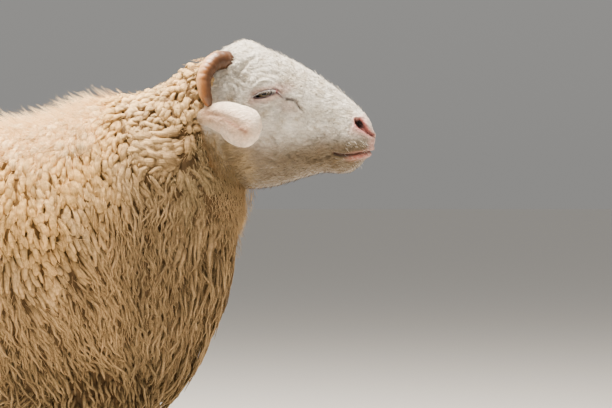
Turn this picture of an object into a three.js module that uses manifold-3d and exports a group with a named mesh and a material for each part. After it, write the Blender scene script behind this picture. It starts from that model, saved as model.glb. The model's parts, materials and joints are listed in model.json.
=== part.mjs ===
// A young horned ram in a half-grown fleece, standing: a still, life-size model.
// Millimetres, +X towards the nose, +Y to the ram's left, +Z up. The hooves stand on z = 0.
import * as THREE from "three";
import { mergeVertices } from "three/addons/utils/BufferGeometryUtils.js";
import Module from "manifold-3d";

const wasm = await Module();
wasm.setup();

// Driving sizes.
const GAP = 0.3; // kept between touching nodes
const HEAD_LENGTH = 240; // back of the skull to the lips
const HEAD_PITCH = 11.4; // degrees that the head's middle line points below level
const SKULL = new THREE.Vector3(257.5, 0, 677.7); // start of that line, at the back of the skull
const EYE_RADIUS = 14;
const LEG_SPREAD = 78; // from the middle plane to a leg's middle line
const COAT_DEPTH = 46; // skin to lock tips on the trunk
const LEG_COAT = 24; // the same on the upper legs
const BODY_LOCK = 118; // distance between neighbouring locks of wool on the trunk
const NECK_LOCK = 84; // the same at the head end of the neck
const LEG_LOCK = 94; // the same on the upper legs and the tail

const clamp = THREE.MathUtils.clamp;
const degrees = THREE.MathUtils.degToRad;
const point = (x, y, z) => new THREE.Vector3(x, y, z);

// ---------------------------------------------------------------- shape helpers

// Rows that start with a place and go on with values. The result gives the values at any place,
// on a smooth curve through the rows.
function along(rows) {
  const last = rows.length - 1;
  const slope = (k, column) => {
    const before = rows[Math.max(k - 1, 0)];
    const after = rows[Math.min(k + 1, last)];
    return (after[column] - before[column]) / (after[0] - before[0]);
  };
  return (place) => {
    let k = 0;
    while (k < last - 1 && rows[k + 1][0] <= place) k += 1;
    const span = rows[k + 1][0] - rows[k][0];
    const u = clamp((place - rows[k][0]) / span, 0, 1);
    return rows[k].slice(1).map((start, i) => {
      const end = rows[k + 1][i + 1];
      const [leave, arrive] = [slope(k, i + 1) * span, slope(k + 1, i + 1) * span];
      const blend = u * u * (3 - 2 * u);
      return start + (end - start) * blend + leave * u * (1 - u) ** 2 - arrive * u * u * (1 - u);
    });
  };
}

// Evenly spaced places from start to end, both included.
function steps(start, end, count) {
  return Array.from({ length: count }, (_, i) => start + ((end - start) * i) / (count - 1));
}

// Angles all the way round, evenly spaced.
const roundAngles = (sides) => steps(0, 2 * Math.PI, sides + 1).slice(0, sides);

const middleOf = (ring) =>
  ring.reduce((sum, p) => sum.add(p), point(0, 0, 0)).divideScalar(ring.length);

// A closed skin over rings of points, each end closed on a pole. otherDiagonal says for which
// points round the ring the four-sided faces are split the other way.
function closedSkin(rings, firstPole, lastPole, otherDiagonal = () => false) {
  const around = rings[0].length;
  const points = [firstPole, ...rings.flat(), lastPole];
  const at = (i, j) => 1 + i * around + (j % around);
  const faces = [];
  for (let j = 0; j < around; j += 1) {
    faces.push(0, at(0, j + 1), at(0, j));
    for (let i = 0; i + 1 < rings.length; i += 1) {
      const [a, b, c, d] = [at(i, j), at(i, j + 1), at(i + 1, j + 1), at(i + 1, j)];
      if (otherDiagonal(j)) faces.push(a, b, d, b, c, d);
      else faces.push(a, b, c, a, c, d);
    }
    faces.push(points.length - 1, at(rings.length - 1, j), at(rings.length - 1, j + 1));
  }
  return new THREE.BufferGeometry().setFromPoints(points).setIndex(faces);
}

// A three.js geometry as a solid that can be joined and cut, turned the right way out.
function solid(geometry) {
  const bare = geometry.clone();
  bare.deleteAttribute("normal");
  bare.deleteAttribute("uv");
  const merged = mergeVertices(bare, 1e-4);
  const make = (triVerts) =>
    new wasm.Manifold(
      new wasm.Mesh({
        numProp: 3,
        vertProperties: new Float32Array(merged.attributes.position.array),
        triVerts: new Uint32Array(triVerts),
      }),
    );
  const index = Array.from(merged.index.array);
  const made = make(index);
  return made.volume() < 0 ? make(index.reverse()) : made;
}

// The largest closed surface of a solid, without loose scraps or sealed hollows.
function largest(body) {
  return body.decompose().reduce((a, b) => (b.volume() > a.volume() ? b : a));
}

const joined = (bodies) => bodies.reduce((a, b) => a.add(b));

function meshOf(name, body, material) {
  const { vertProperties, triVerts } = body.getMesh();
  const geometry = new THREE.BufferGeometry()
    .setAttribute("position", new THREE.BufferAttribute(vertProperties, 3))
    .setIndex(new THREE.BufferAttribute(triVerts, 1));
  geometry.computeVertexNormals();
  const mesh = new THREE.Mesh(geometry, material);
  mesh.name = name;
  return mesh;
}

// ---------------------------------------------------------------- trunk and neck

// One body line runs from the rump through the trunk and up the neck to the back of the skull.
// Each row gives a cross-section of the coat's outline, tips included:
// place, top x, top z, bottom x, bottom z, half width.
const trunkRows = [
  [0, -478, 552, -480, 500, 30],
  [1, -468, 594, -474, 448, 80],
  [2, -442, 632, -454, 398, 118],
  [3, -385, 655, -402, 352, 142],
  [4, -300, 662, -310, 316, 157],
  [5, -190, 657, -190, 286, 168],
  [6, -70, 652, -62, 264, 174],
  [7, 30, 659, 60, 252, 170],
  [8, 100, 681, 160, 252, 157],
  [9, 146, 692, 222, 290, 138],
  [10, 182, 697, 268, 368, 118],
  [11, 212, 711, 296, 450, 99],
  [12, 238, 731, 318, 520, 82],
  [13, 261, 743, 331, 554, 66],
  [14, 278, 742, 340, 574, 48],
];
const TRUNK_END = 14;
const TRUNK_ROUNDNESS = 2.15; // 2 is an ellipse, more is squarer
const trunkAt = along(trunkRows);

function trunkPoint(place, angle) {
  const [topX, topZ, bottomX, bottomZ, halfWidth] = trunkAt(place);
  const power = 2 / TRUNK_ROUNDNESS;
  const side = Math.sign(Math.cos(angle)) * Math.abs(Math.cos(angle)) ** power;
  const rise = Math.sign(Math.sin(angle)) * Math.abs(Math.sin(angle)) ** power;
  return point(
    (topX + bottomX) / 2 + ((topX - bottomX) / 2) * rise,
    halfWidth * side,
    (topZ + bottomZ) / 2 + ((topZ - bottomZ) / 2) * rise,
  );
}

// The outward direction of a surface given as surface(place, angle).
function outward(surface, place, angle) {
  const run = surface(place + 0.01, angle).sub(surface(place - 0.01, angle));
  const turn = surface(place, angle + 0.02).sub(surface(place, angle - 0.02));
  return turn.cross(run).normalize();
}

// The body under a surface(place, angle), moved inwards by depth.
function bodyUnder(surface, places, sides, depth) {
  const rings = places.map((place) =>
    roundAngles(sides).map((angle) =>
      surface(place, angle).addScaledVector(outward(surface, place, angle), -depth),
    ),
  );
  return solid(closedSkin(rings, middleOf(rings[0]), middleOf(rings.at(-1))));
}

// ---------------------------------------------------------------- head

const headForward = point(Math.cos(degrees(HEAD_PITCH)), 0, -Math.sin(degrees(HEAD_PITCH)));
const headUp = point(-headForward.z, 0, headForward.x);

// A point of the head from its distance along the middle line, its rise above it and its side.
function inHead(forward, rise, side) {
  return SKULL.clone()
    .addScaledVector(headForward, forward)
    .addScaledVector(headUp, rise)
    .add(point(0, side, 0));
}

// Forward, top line, bottom line, half width, level of the widest point, and how square the
// section is above and below that level.
const headRows = [
  [-18, 58, -83, 46, 4, 2.2, 2.0],
  [-8, 68, -92, 52, 8, 2.3, 2.0],
  [15, 86, -101, 57, 16, 2.5, 2.0],
  [40, 98, -104, 59, 22, 2.6, 2.0],
  [56, 97, -103, 60, 24, 2.5, 2.0],
  [72, 92, -99, 60, 24, 2.4, 2.1],
  [92, 87.5, -96, 57, 16, 2.2, 2.2],
  [116, 82, -88.5, 50, 2, 2.0, 2.4],
  [140, 74, -77, 44, -8, 1.9, 2.5],
  [165, 63.5, -63, 38, -12, 1.9, 2.4],
  [186, 53, -55, 34, -12, 2.0, 2.3],
  [204, 43, -53, 32, -10, 2.1, 2.3],
  [218, 34, -48, 30, -8, 2.2, 2.2],
  [229, 24, -36, 26, -6, 2.2, 2.2],
  [237, 11, -21, 17, -5, 2.0, 2.0],
];
const HEAD_START = headRows[0][0];
const HEAD_END = headRows.at(-1)[0];
const HEAD_RINGS = 26;
const HEAD_SIDES = 24;
const headAt = along(headRows);

// Soft swellings and hollows of the face: forward, rise, reach forward, reach up, height.
const faceForms = [
  [80, 42, 24, 13, 6], // brow over the eye
  [84, 14, 16, 10, 2], // rim under the eye
  [50, 44, 15, 16, -4], // temple
  [112, 22, 16, 12, -4], // hollow before the eye
  [128, -8, 34, 9, 3], // cheek ridge
  [78, -44, 34, 28, 4], // jaw muscle
  [150, -40, 26, 9, -2.5], // hollow above the lower jaw
  [222, 20, 9, 9, 3], // wing of the nostril
  [212, -6, 16, 9, 2.5], // upper lip
  [216, -42, 13, 8, 2], // chin
];

function headPoint(forward, angle, swell = 0) {
  const [top, bottom, halfWidth, level, above, below] = headAt(forward);
  const [c, s] = [Math.cos(angle), Math.sin(angle)];
  const power = 2 / (s >= 0 ? above : below);
  const side = Math.sign(c) * Math.abs(c) ** power * halfWidth;
  const rise = level + Math.abs(s) ** power * ((s >= 0 ? top : bottom) - level);
  const flank = Math.abs(c); // the forms lie on the sides, and fade at the top and bottom lines
  const form = faceForms.reduce((sum, [f, r, reachF, reachR, height]) => {
    const far = ((forward - f) / reachF) ** 2 + ((rise - r) / reachR) ** 2;
    return sum + height * Math.exp(-far);
  }, 0);
  return inHead(forward, rise + s * swell, side + c * (form * Math.min(1, 2 * flank) + swell));
}

function headSolid(swell, ringCount, sides) {
  const angles = roundAngles(sides);
  // Rings stand closer together towards the lips.
  const places = steps(0, 1, ringCount).map(
    (u) => HEAD_START + (HEAD_END - HEAD_START) * (u + 0.12 * Math.sin(Math.PI * u) ** 2),
  );
  const rings = places.map((forward) => angles.map((angle) => headPoint(forward, angle, swell)));
  const nose = inHead(HEAD_LENGTH + 1 + swell, -5, 0);
  return solid(closedSkin(rings, inHead(HEAD_START - swell, -4, 0), nose));
}

// A ball with given half sizes, turned in degrees about x, then y, then z, and set at a place.
function ball(halfSizes, centre, turns = [0, 0, 0], segments = [16, 10]) {
  const matrix = new THREE.Matrix4().compose(
    centre,
    new THREE.Quaternion().setFromEuler(new THREE.Euler(...turns.map(degrees), "ZYX")),
    point(...halfSizes),
  );
  return solid(new THREE.SphereGeometry(1, ...segments).rotateX(Math.PI / 2).applyMatrix4(matrix));
}

// A slab with the outline of a flat shape drawn in x and z, reaching from side y0 to side y1.
function slab(outline, y0, y1) {
  const geometry = new THREE.ExtrudeGeometry(outline, {
    depth: y1 - y0,
    bevelEnabled: false,
    curveSegments: 10,
  });
  geometry.rotateX(Math.PI / 2);
  geometry.translate(0, y1, 0);
  return solid(geometry);
}

// Eyes: the ball sits so that its front stands just under the brow.
const EYE_FORWARD = 84;
const EYE_RISE = 30;
const EYE_SIDE = 47.5;
const LID_HALF_SIZES = [22, 17, 16.8];
const FISSURE_HALF_LENGTH = 13; // of the gap between the lids
const FISSURE_HALF_HEIGHT = 4.2;
const FISSURE_TILT = 17.6; // degrees that its front corner stands above its back one
const eyeCentre = (hand) => inHead(EYE_FORWARD, EYE_RISE, hand * EYE_SIDE);
const eyeball = (hand, swell = 0) =>
  ball(Array(3).fill(EYE_RADIUS + swell), eyeCentre(hand), [90, 0, 0], [10, 8]);

// The almond gap between the lids, as a prism that points out of the head.
function fissure(hand) {
  const almond = new THREE.Shape();
  almond.moveTo(-FISSURE_HALF_LENGTH, 0);
  almond.quadraticCurveTo(-1, 2 * FISSURE_HALF_HEIGHT, FISSURE_HALF_LENGTH, 0);
  almond.quadraticCurveTo(-1, -2 * FISSURE_HALF_HEIGHT, -FISSURE_HALF_LENGTH, 0);
  const middle = eyeCentre(hand);
  return slab(almond, -30, 30)
    .rotate([0, -FISSURE_TILT, 0])
    .translate([middle.x, middle.y + hand * 36, middle.z]);
}

// The mouth line, from the corner to the front of the lips, as places in the head.
const mouthLine = [
  [186, -28],
  [200, -30],
  [216, -28.5],
  [232, -21.5],
  [246, -14],
];
const MOUTH_HALF_GAP = 1.1;
const MOUTH_DEPTH = 6;

// A thin band along the mouth line right across the muzzle.
function mouthBand() {
  const at = ([forward, rise], shift) => {
    const p = inHead(forward, rise + shift, 0);
    return new THREE.Vector2(p.x, p.z);
  };
  const upper = mouthLine.map((place, i) => at(place, i ? MOUTH_HALF_GAP : 0.2));
  const lower = mouthLine.map((place, i) => at(place, i ? -MOUTH_HALF_GAP : -0.2));
  return slab(new THREE.Shape([...upper, ...lower.reverse()]), -60, 60);
}

// A nostril is a slanting comma, widest at its upper back end.
const nostril = (hand) =>
  joined([
    ball([7, 9, 5.4], inHead(216, 17, hand * 27), [0, 42, hand * -25], [10, 6]),
    ball([15.5, 8, 3.6], inHead(224, 12, hand * 22), [0, 42, hand * -25], [12, 6]),
  ]);

function headNode() {
  const face = headSolid(0, HEAD_RINGS, HEAD_SIDES);
  const inner = headSolid(-MOUTH_DEPTH, 16, 12);
  const lids = [1, -1].map((hand) =>
    ball(LID_HALF_SIZES, eyeCentre(hand), [0, -FISSURE_TILT, 0], [14, 8]),
  );
  const cuts = [1, -1].flatMap((hand) => [fissure(hand), eyeball(hand, GAP), nostril(hand)]);
  return largest(joined([face, ...lids]).subtract(joined([...cuts, mouthBand().subtract(inner)])));
}

// ---------------------------------------------------------------- ears

// The ear leaves the side of the head, turns forwards and dips a little, with its hollow side to
// the cheek. Each row: share of the way, x, y and z of the middle line, half width measured on
// the surface, and the half angle that the blade curls through.
const earRows = [
  [0, 261, 42, 661, 20, 125],
  [0.14, 258, 57, 661, 20, 118],
  [0.28, 261, 71, 661, 20, 105],
  [0.42, 276, 82, 661.5, 24, 78],
  [0.58, 296, 90, 658, 27, 55],
  [0.74, 314, 96, 651, 30.5, 43],
  [0.88, 327, 100, 644, 31.5, 36],
  [0.96, 335, 102, 640, 27, 30],
  [1, 339, 103, 638, 16, 20],
];
const EAR_THICKNESS = 3.2;
const earAt = along(earRows);
const earMiddle = (share) => point(...earAt(share).slice(0, 3));

// A ring of the ear: over its outer face one way, and back over its hollow face.
function earRing(share, swell, across) {
  const [halfWidth, curl] = earAt(share).slice(3);
  const sweep = degrees(curl);
  const radius = halfWidth / sweep;
  const way = earMiddle(Math.min(1, share + 0.03)).sub(earMiddle(share - 0.03)).normalize();
  const up = point(0.2, 0, 1).projectOnPlane(way).normalize();
  const out = up.clone().cross(way);
  const place = (v, depth) => {
    const turn = v * (sweep + swell / radius);
    return earMiddle(share)
      .addScaledVector(up, Math.sin(turn) * (radius - depth))
      .addScaledVector(out, Math.cos(turn) * (radius - depth) - radius / 2);
  };
  const blade = steps(-1, 1, across);
  const thickness = (v) => EAR_THICKNESS * (1 - 0.55 * v * v);
  const outerFace = blade.map((v) => place(v, -swell));
  const hollowFace = blade.map((v) => place(v, thickness(v) + swell)).reverse();
  return [...outerFace, ...hollowFace];
}

function earSolid(swell = 0, across = 7) {
  const shares = steps(0, 1, 12).map((u) => Math.sin((u * Math.PI) / 2) ** 1.1);
  const rings = shares.map((share) => earRing(share, swell, across));
  const tip = middleOf(rings.at(-1)).add(point(2 + swell, 0.5, -1));
  return solid(closedSkin(rings, middleOf(rings[0]), tip, (j) => j >= across));
}

// ---------------------------------------------------------------- horns

// Middle line and radius: the horn leaves the crown, turns back and down and ends over the ear.
const hornRows = [
  [0, 297, 26, 733, 14],
  [1, 293, 42, 735, 13.6],
  [2, 281, 57, 734, 12.2],
  [3, 269, 68, 724, 9.4],
  [4, 263, 75, 709, 7.8],
  [5, 264, 79, 695, 7.6],
  [6, 267, 80, 684, 5.6],
  [6.6, 268.5, 80.5, 678, 3],
];
const HORN_RINGS = 18;
const HORN_SIDES = 8;
const HORN_RING_HEIGHT = 0.35; // of the growth rings across the horn
const hornAt = along(hornRows);

function hornSolid(swell = 0) {
  const middleAt = (place) => point(...hornAt(place).slice(0, 3));
  const rings = steps(0, hornRows.at(-1)[0], HORN_RINGS).map((place, i) => {
    const middle = middleAt(place);
    const way = middleAt(place + 0.05)
      .sub(middleAt(place - 0.05))
      .normalize();
    const up = point(0, 1, 0).projectOnPlane(way).normalize();
    const over = way.clone().cross(up);
    const radius = hornAt(place)[3] + swell + (i % 2 ? HORN_RING_HEIGHT : -HORN_RING_HEIGHT);
    return roundAngles(HORN_SIDES).map((angle) =>
      middle
        .clone()
        .addScaledVector(up, 0.86 * radius * Math.cos(angle))
        .addScaledVector(over, radius * Math.sin(angle)),
    );
  });
  const tip = middleAt(hornRows.at(-1)[0]).add(point(0.4, -0.3, -2.6 - swell));
  return solid(closedSkin(rings, middleAt(0), tip));
}

const mirrored = (body) => body.mirror([0, 1, 0]);

// ---------------------------------------------------------------- legs

// Height, x of the middle line, half depth along x, half width along y, of the bare leg.
const foreLegRows = [
  [28, 150, 20.5, 20],
  [36, 148, 19, 18.5],
  [48, 144, 15.5, 15.5],
  [62, 139, 15.5, 15.5],
  [78, 134, 18, 17.5],
  [95, 133, 13.8, 14],
  [125, 133, 13, 13],
  [160, 134, 15, 15],
  [180, 135, 20, 18.5],
  [196, 136, 23, 21],
  [212, 134, 22.5, 20],
  [235, 133, 27, 22],
  [265, 130, 40, 28],
  [300, 126, 52, 32],
  [345, 121, 60, 31],
  [406, 118, 60, 26],
];
const hindLegRows = [
  [28, -352, 20.5, 20],
  [36, -355, 19, 18.5],
  [48, -360, 15.5, 15.5],
  [62, -367, 15.5, 15.5],
  [80, -374, 18, 17.5],
  [98, -378, 14.4, 14.5],
  [135, -381, 14, 13.5],
  [180, -385, 16.5, 14.5],
  [215, -389, 23, 18],
  [240, -392, 29, 20],
  [262, -387, 34, 23],
  [290, -374, 50, 31],
  [325, -357, 70, 38],
  [365, -347, 84, 41],
  [462, -342, 88, 32],
];
const CORONET_SLOPE = 0.28; // rise of the hoof's upper edge towards the toe

// Heights: coatEnd is where a leg's wool ends, above the knee or hock, lockTop where the trunk's
// wool covers it, and top the upper leg's end inside the trunk.
const legs = [
  { name: "fore", rows: foreLegRows, coatEnd: 214, lockTop: 390, top: 406, clawX: 152 },
  { name: "hind", rows: hindLegRows, coatEnd: 262, lockTop: 442, top: 462, clawX: -350 },
];
const LEG_SIDES = 10;

// The surface of a leg at a height, with a thickness of coat on it that starts at its lower end.
function legSurface(leg, hand, coatAt, swell = 0) {
  const legAt = along(leg.rows);
  return (height, angle) => {
    const [x, halfDepth, halfWidth] = legAt(height);
    const wool = coatAt(height) * Math.sqrt(clamp((height - leg.coatEnd + 8) / 30, 0, 1));
    const forward = Math.cos(angle) * (halfDepth + wool + swell);
    const side = Math.sin(angle) * (halfWidth + wool + swell);
    return point(x + forward, hand * LEG_SPREAD + side, height);
  };
}

// One claw of a hoof: flat underneath, its walls leaning in to the sloping upper edge.
const CLAW_HALF_LENGTH = 27;
const CLAW_HALF_WIDTH = 10;
const CLAW_HEIGHT = 27; // at its middle
const CLEFT = 2.4; // between the two claws

function clawSolid(x, side, inward) {
  const layers = [
    [0, 1, 2.5, 0.96],
    [CLAW_HEIGHT * 0.45, 0.9, -0.6, 1],
    [CLAW_HEIGHT - GAP, 0.76, -4, 0.93],
  ];
  const rings = layers.map(([height, length, shift, width], i) =>
    roundAngles(10).map((angle) => {
      const run = Math.cos(angle) * CLAW_HALF_LENGTH * length + shift;
      const toe = 1 - 0.28 * Math.max(0, Math.cos(angle)) ** 2;
      const reach = Math.sin(angle) * CLAW_HALF_WIDTH * width * toe;
      const lean = inward * 0.04 * Math.max(0, run) ** 1.2;
      const tilt = (CORONET_SLOPE * run * i) / (layers.length - 1);
      return point(x + run, side + reach + lean, height + (tilt * height) / CLAW_HEIGHT);
    }),
  );
  const top = layers.at(-1);
  return solid(
    closedSkin(
      rings,
      point(x + layers[0][2], side, 0),
      point(x + top[2], side, top[0] + CORONET_SLOPE * top[2]),
    ),
  );
}

// The bare lower leg with its two dew claws behind the fetlock. It ends below in the plane of
// the hoof's sloping upper edge, and above inside the wool.
function shankSolid(leg, hand, swell = 0) {
  const top = leg.coatEnd + 30 + swell;
  const heights = [16, ...leg.rows.map((row) => row[0]).filter((height) => height < top - 4), top];
  const tilt = Math.hypot(CORONET_SLOPE, 1);
  const bone = bodyUnder(legSurface(leg, hand, () => 0, swell), heights, LEG_SIDES, 0).trimByPlane(
    [-CORONET_SLOPE / tilt, 0, 1 / tilt],
    (CLAW_HEIGHT + GAP - CORONET_SLOPE * leg.clawX) / tilt,
  );
  const fetlock = leg.rows.find((row) => row[2] === 18);
  const dewClaws = [1, -1].map((way) =>
    ball(
      [5, 4.5, 8],
      point(fetlock[1] - 17, hand * LEG_SPREAD + way * 10, fetlock[0] - 8),
      [0, 25, 0],
      [6, 5],
    ),
  );
  return joined([bone, ...dewClaws]);
}

// ---------------------------------------------------------------- tail

const tailRows = [
  [0, -436, 604, 18, 24],
  [1, -462, 588, 26, 32],
  [2, -482, 552, 26, 34],
  [3, -492, 500, 25, 34],
  [4, -494, 440, 23, 30],
  [5, -490, 385, 18, 24],
  [6, -484, 348, 9, 12],
];
const TAIL_PLACES = [0, 0.8, 1.6, 2.5, 3.5, 4.5, 5.4, 6];
const TAIL_COAT = 14;
const TAIL_LOCK = 66;
const TAIL_BACK = -508; // locks that don't reach this far back would lie against the rump
const tailAt = along(tailRows);

function tailSurface(place, angle) {
  const [x, z, halfDepth, halfWidth] = tailAt(place);
  const [x0, z0] = tailAt(place - 0.05);
  const [x1, z1] = tailAt(place + 0.05);
  const back = point(z1 - z0, 0, x0 - x1).normalize();
  return point(x, Math.sin(angle) * halfWidth, z).addScaledVector(
    back,
    Math.cos(angle) * halfDepth,
  );
}

// ---------------------------------------------------------------- locks of wool

const CORE_SHARE = 0.5; // of the coat's depth that the locks stand on
const SOCKET_ROOM = 7; // the flats of a socket lie inside its round, so it is made this much wider
const LOCK_SIDES = 6;
const LOCK_TALL = 1.15; // length over width
const LOCK_TOP = [1, 0.16]; // height of the tip, and how far it leans along the lie
const WOOL_FALL = point(-0.3, 0, -1); // the way that the wool hangs

// Rings of a lock from its sunk root upwards: height, half length, half width, lean. Heights are
// shares of its height over the core, the rest are shares of its length and its width.
const lockRings = [
  [-0.5, 0.6, 0.6, 0],
  [0.35, 0.6, 0.6, 0.01],
  [0.86, 0.38, 0.4, 0.09],
];

// Repeatable chance numbers from 0 to 1.
function chance(seed) {
  let state = seed;
  return () => {
    state = (Math.imul(state, 1664525) + 1013904223) >>> 0;
    return state / 2 ** 32;
  };
}

// The way the wool lies at a spot of the surface: down along it, and outwards on the back.
function lieOn(out, spread) {
  const fall = WOOL_FALL.clone().add(point(0, Math.sign(out.y) * Math.max(0, out.z), 0));
  const lie = fall.projectOnPlane(out).normalize();
  return lie.applyAxisAngle(out, spread);
}

// Moves over the surface from a spot: at(along, aside, depth) is the point that lies that far
// along the lie, across it and under the surface.
function walker(surface, place, angle, spread) {
  const run = surface(place + 0.01, angle).sub(surface(place - 0.01, angle)).divideScalar(0.02);
  const turn = surface(place, angle + 0.01).sub(surface(place, angle - 0.01)).divideScalar(0.02);
  const lie = lieOn(outward(surface, place, angle), spread);
  const side = outward(surface, place, angle).cross(lie);
  const [rr, rt, tt] = [run.dot(run), run.dot(turn), turn.dot(turn)];
  return (ahead, aside, depth) => {
    const move = lie.clone().multiplyScalar(ahead).addScaledVector(side, aside);
    const [mr, mt] = [move.dot(run), move.dot(turn)];
    const newPlace = place + (mr * tt - mt * rt) / (rr * tt - rt * rt);
    const newAngle = angle + (mt * rr - mr * rt) / (rr * tt - rt * rt);
    const out = outward(surface, newPlace, newAngle);
    return surface(newPlace, newAngle).addScaledVector(out, -depth);
  };
}

// A closed, rounded lock of wool: its root is sunk in the core, its tip reaches out to the
// surface and leans along the lie.
function lock(at, length, width, coreDepth, height, phase) {
  const depthAt = (rise) => coreDepth - rise * height;
  const rings = lockRings.map(([rise, halfLength, halfWidth, lean]) =>
    roundAngles(LOCK_SIDES).map((angle) =>
      at(
        (lean + halfLength * Math.cos(angle + phase)) * length,
        halfWidth * Math.sin(angle + phase) * width,
        depthAt(rise),
      ),
    ),
  );
  const [rise, lean] = LOCK_TOP;
  return solid(closedSkin(rings, at(0, 0, depthAt(-0.7)), at(lean * length, 0, depthAt(rise))));
}

// Distances round a ring of the surface, and how far a whole step of place goes on average.
function ringLengths(surface, place) {
  const ring = steps(0, 2 * Math.PI, 49).map((angle) => surface(place, angle));
  const next = steps(0, 2 * Math.PI, 49).map((angle) => surface(place + 0.05, angle));
  const lengths = [0];
  for (let k = 1; k < ring.length; k += 1) {
    lengths.push(lengths.at(-1) + ring[k].distanceTo(ring[k - 1]));
  }
  const advance = ring.reduce((sum, p, k) => sum + p.distanceTo(next[k]), 0) / ring.length / 0.05;
  return { lengths, advance };
}

// Staggered rows of locks over a surface from one place to another. depth is the coat's, and
// pitch gives the distance between locks. On the trunk the wool lies round the rings, on a leg
// along it, and the locks are a little longer that way.
function locksOver(surface, from, to, depth, pitch, liesRound, random) {
  const locks = [];
  const core = depth * CORE_SHARE;
  const [roundShare, alongShare] = liesRound ? [LOCK_TALL, 1] : [1, LOCK_TALL];
  const phase = liesRound ? Math.PI / 6 : 0; // a flat side turns to each neighbour in the row
  for (let place = from, row = 0; place <= to; row += 1) {
    const { lengths, advance } = ringLengths(surface, place);
    const count = Math.max(3, Math.round(lengths.at(-1) / (pitch(place) * roundShare)));
    for (let k = 0; k < count; k += 1) {
      const share = (k + (row % 2) / 2 + 0.25 + 0.06 * (random() - 0.5)) / count;
      const reach = (share % 1) * lengths.at(-1);
      const before = lengths.findLastIndex((length) => length <= reach);
      const part = (reach - lengths[before]) / (lengths[before + 1] - lengths[before]);
      const angle = ((before + part) * 2 * Math.PI) / 48;
      const at = walker(surface, place, angle, 0.16 * (random() - 0.5));
      const size = pitch(place) * (1 + 0.04 * random());
      const height = core * (0.9 + 0.12 * random());
      locks.push(lock(at, size * LOCK_TALL, size, core, height, phase));
    }
    place += (pitch(place) * 0.88 * alongShare) / advance;
  }
  return locks;
}

// ---------------------------------------------------------------- fleece and its parting

const NECK_PLACE = 9.6; // where along the body line the neck is parted from the trunk
const trunkPlaces = [0.02, 0.6, 1.4, 2.4, 3.8, 5.4, 7, 8.4, 9.7, 11, 12, 13, TRUNK_END];

// Everything in front of a plane across the body line, as a large block.
function aheadOf(place, gap) {
  const [topX, topZ, bottomX, bottomZ] = trunkAt(place);
  const size = 700;
  const block = new THREE.BoxGeometry(size, size, size).translate(size / 2 + gap, 0, 0);
  block.rotateY(Math.atan2(topX - bottomX, topZ - bottomZ));
  block.translate((topX + bottomX) / 2, 0, (topZ + bottomZ) / 2);
  return solid(block);
}

// The round opening of the fleece about the face.
function faceOpening() {
  const opening = new THREE.CylinderGeometry(1, 1, 400, 24);
  opening.scale(76, 1, 100);
  opening.translate(332, 0, 655);
  return solid(opening);
}

// The bodies that lie at least half outside a solid.
const outside = (bodies, taken) =>
  bodies.filter((body) => body.subtract(taken).volume() > 0.5 * body.volume());

// The core of the trunk and the neck with its locks, left out where they would fall in a room
// that is kept free for other nodes.
function trunkWool(rooms, random) {
  const pitch = (place) =>
    THREE.MathUtils.lerp(BODY_LOCK, NECK_LOCK, clamp((place - 7.5) / 4, 0, 1));
  const core = bodyUnder(trunkPoint, trunkPlaces, 14, COAT_DEPTH * CORE_SHARE);
  const locks = locksOver(trunkPoint, 0.6, 13, COAT_DEPTH, pitch, true, random);
  return joined([core.subtract(faceOpening()), ...outside(locks, rooms)]);
}

// An upper leg in its wool, with locks where it stands clear of the trunk.
function upperLeg(leg, hand, trunk, random) {
  const surface = legSurface(leg, hand, () => LEG_COAT);
  const heights = [leg.coatEnd, leg.coatEnd + 14, leg.coatEnd + 60, leg.lockTop, leg.top];
  const core = bodyUnder(legSurface(leg, hand, () => LEG_COAT * CORE_SHARE), heights, LEG_SIDES, 0);
  const start = leg.coatEnd + 0.25 * LEG_LOCK;
  const end = leg.lockTop - 0.6 * LEG_LOCK;
  const locks = locksOver(surface, start, end, LEG_COAT, () => LEG_LOCK, false, random);
  return joined([core, ...outside(locks, trunk)]).subtract(shankSolid(leg, hand, GAP));
}

// The room that the trunk leaves for an upper leg: wide for its locks, and snug above them.
function legSocket(leg, hand) {
  const coatAt = (height) => (height > leg.lockTop + 1 ? CORE_SHARE : 1) * LEG_COAT;
  const lower = [0, 30, 70, 110].map((rise) => leg.coatEnd + rise);
  const heights = [...lower, leg.lockTop, leg.lockTop + 6, leg.top + GAP];
  return bodyUnder(legSurface(leg, hand, coatAt, SOCKET_ROOM), heights, LEG_SIDES, 0);
}

// The tail in its wool.
function woollyTail(random) {
  const core = bodyUnder(tailSurface, TAIL_PLACES, 10, TAIL_COAT * CORE_SHARE);
  const locks = locksOver(tailSurface, 1.7, 5.4, TAIL_COAT, () => TAIL_LOCK, false, random);
  return joined([core, ...locks.filter((body) => body.boundingBox().min[0] < TAIL_BACK)]);
}

const head = headNode();
const headSocket = headSolid(GAP, HEAD_RINGS, HEAD_SIDES);
const ears = { left: earSolid(), right: mirrored(earSolid()) };
const horns = { left: hornSolid(), right: mirrored(hornSolid()) };
const sockets = [headSocket, earSolid(GAP), hornSolid(GAP)];
sockets.push(mirrored(earSolid(GAP)), mirrored(hornSolid(GAP)));
const legSockets = legs.flatMap((leg) => [1, -1].map((hand) => legSocket(leg, hand)));
const tailSocket = bodyUnder(tailSurface, TAIL_PLACES, 10, -2.5);
const rooms = joined([tailSocket, ...legSockets]);
const random = chance(7);
const coat = trunkWool(rooms, random).subtract(joined(sockets));
const neck = largest(coat.intersect(aheadOf(NECK_PLACE, GAP)));
const torso = largest(coat.subtract(joined([aheadOf(NECK_PLACE, 0), rooms])));
const tail = largest(woollyTail(random));
const trunkInside = bodyUnder(trunkPoint, trunkPlaces, 14, COAT_DEPTH * CORE_SHARE);

// ---------------------------------------------------------------- the finished group

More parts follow.
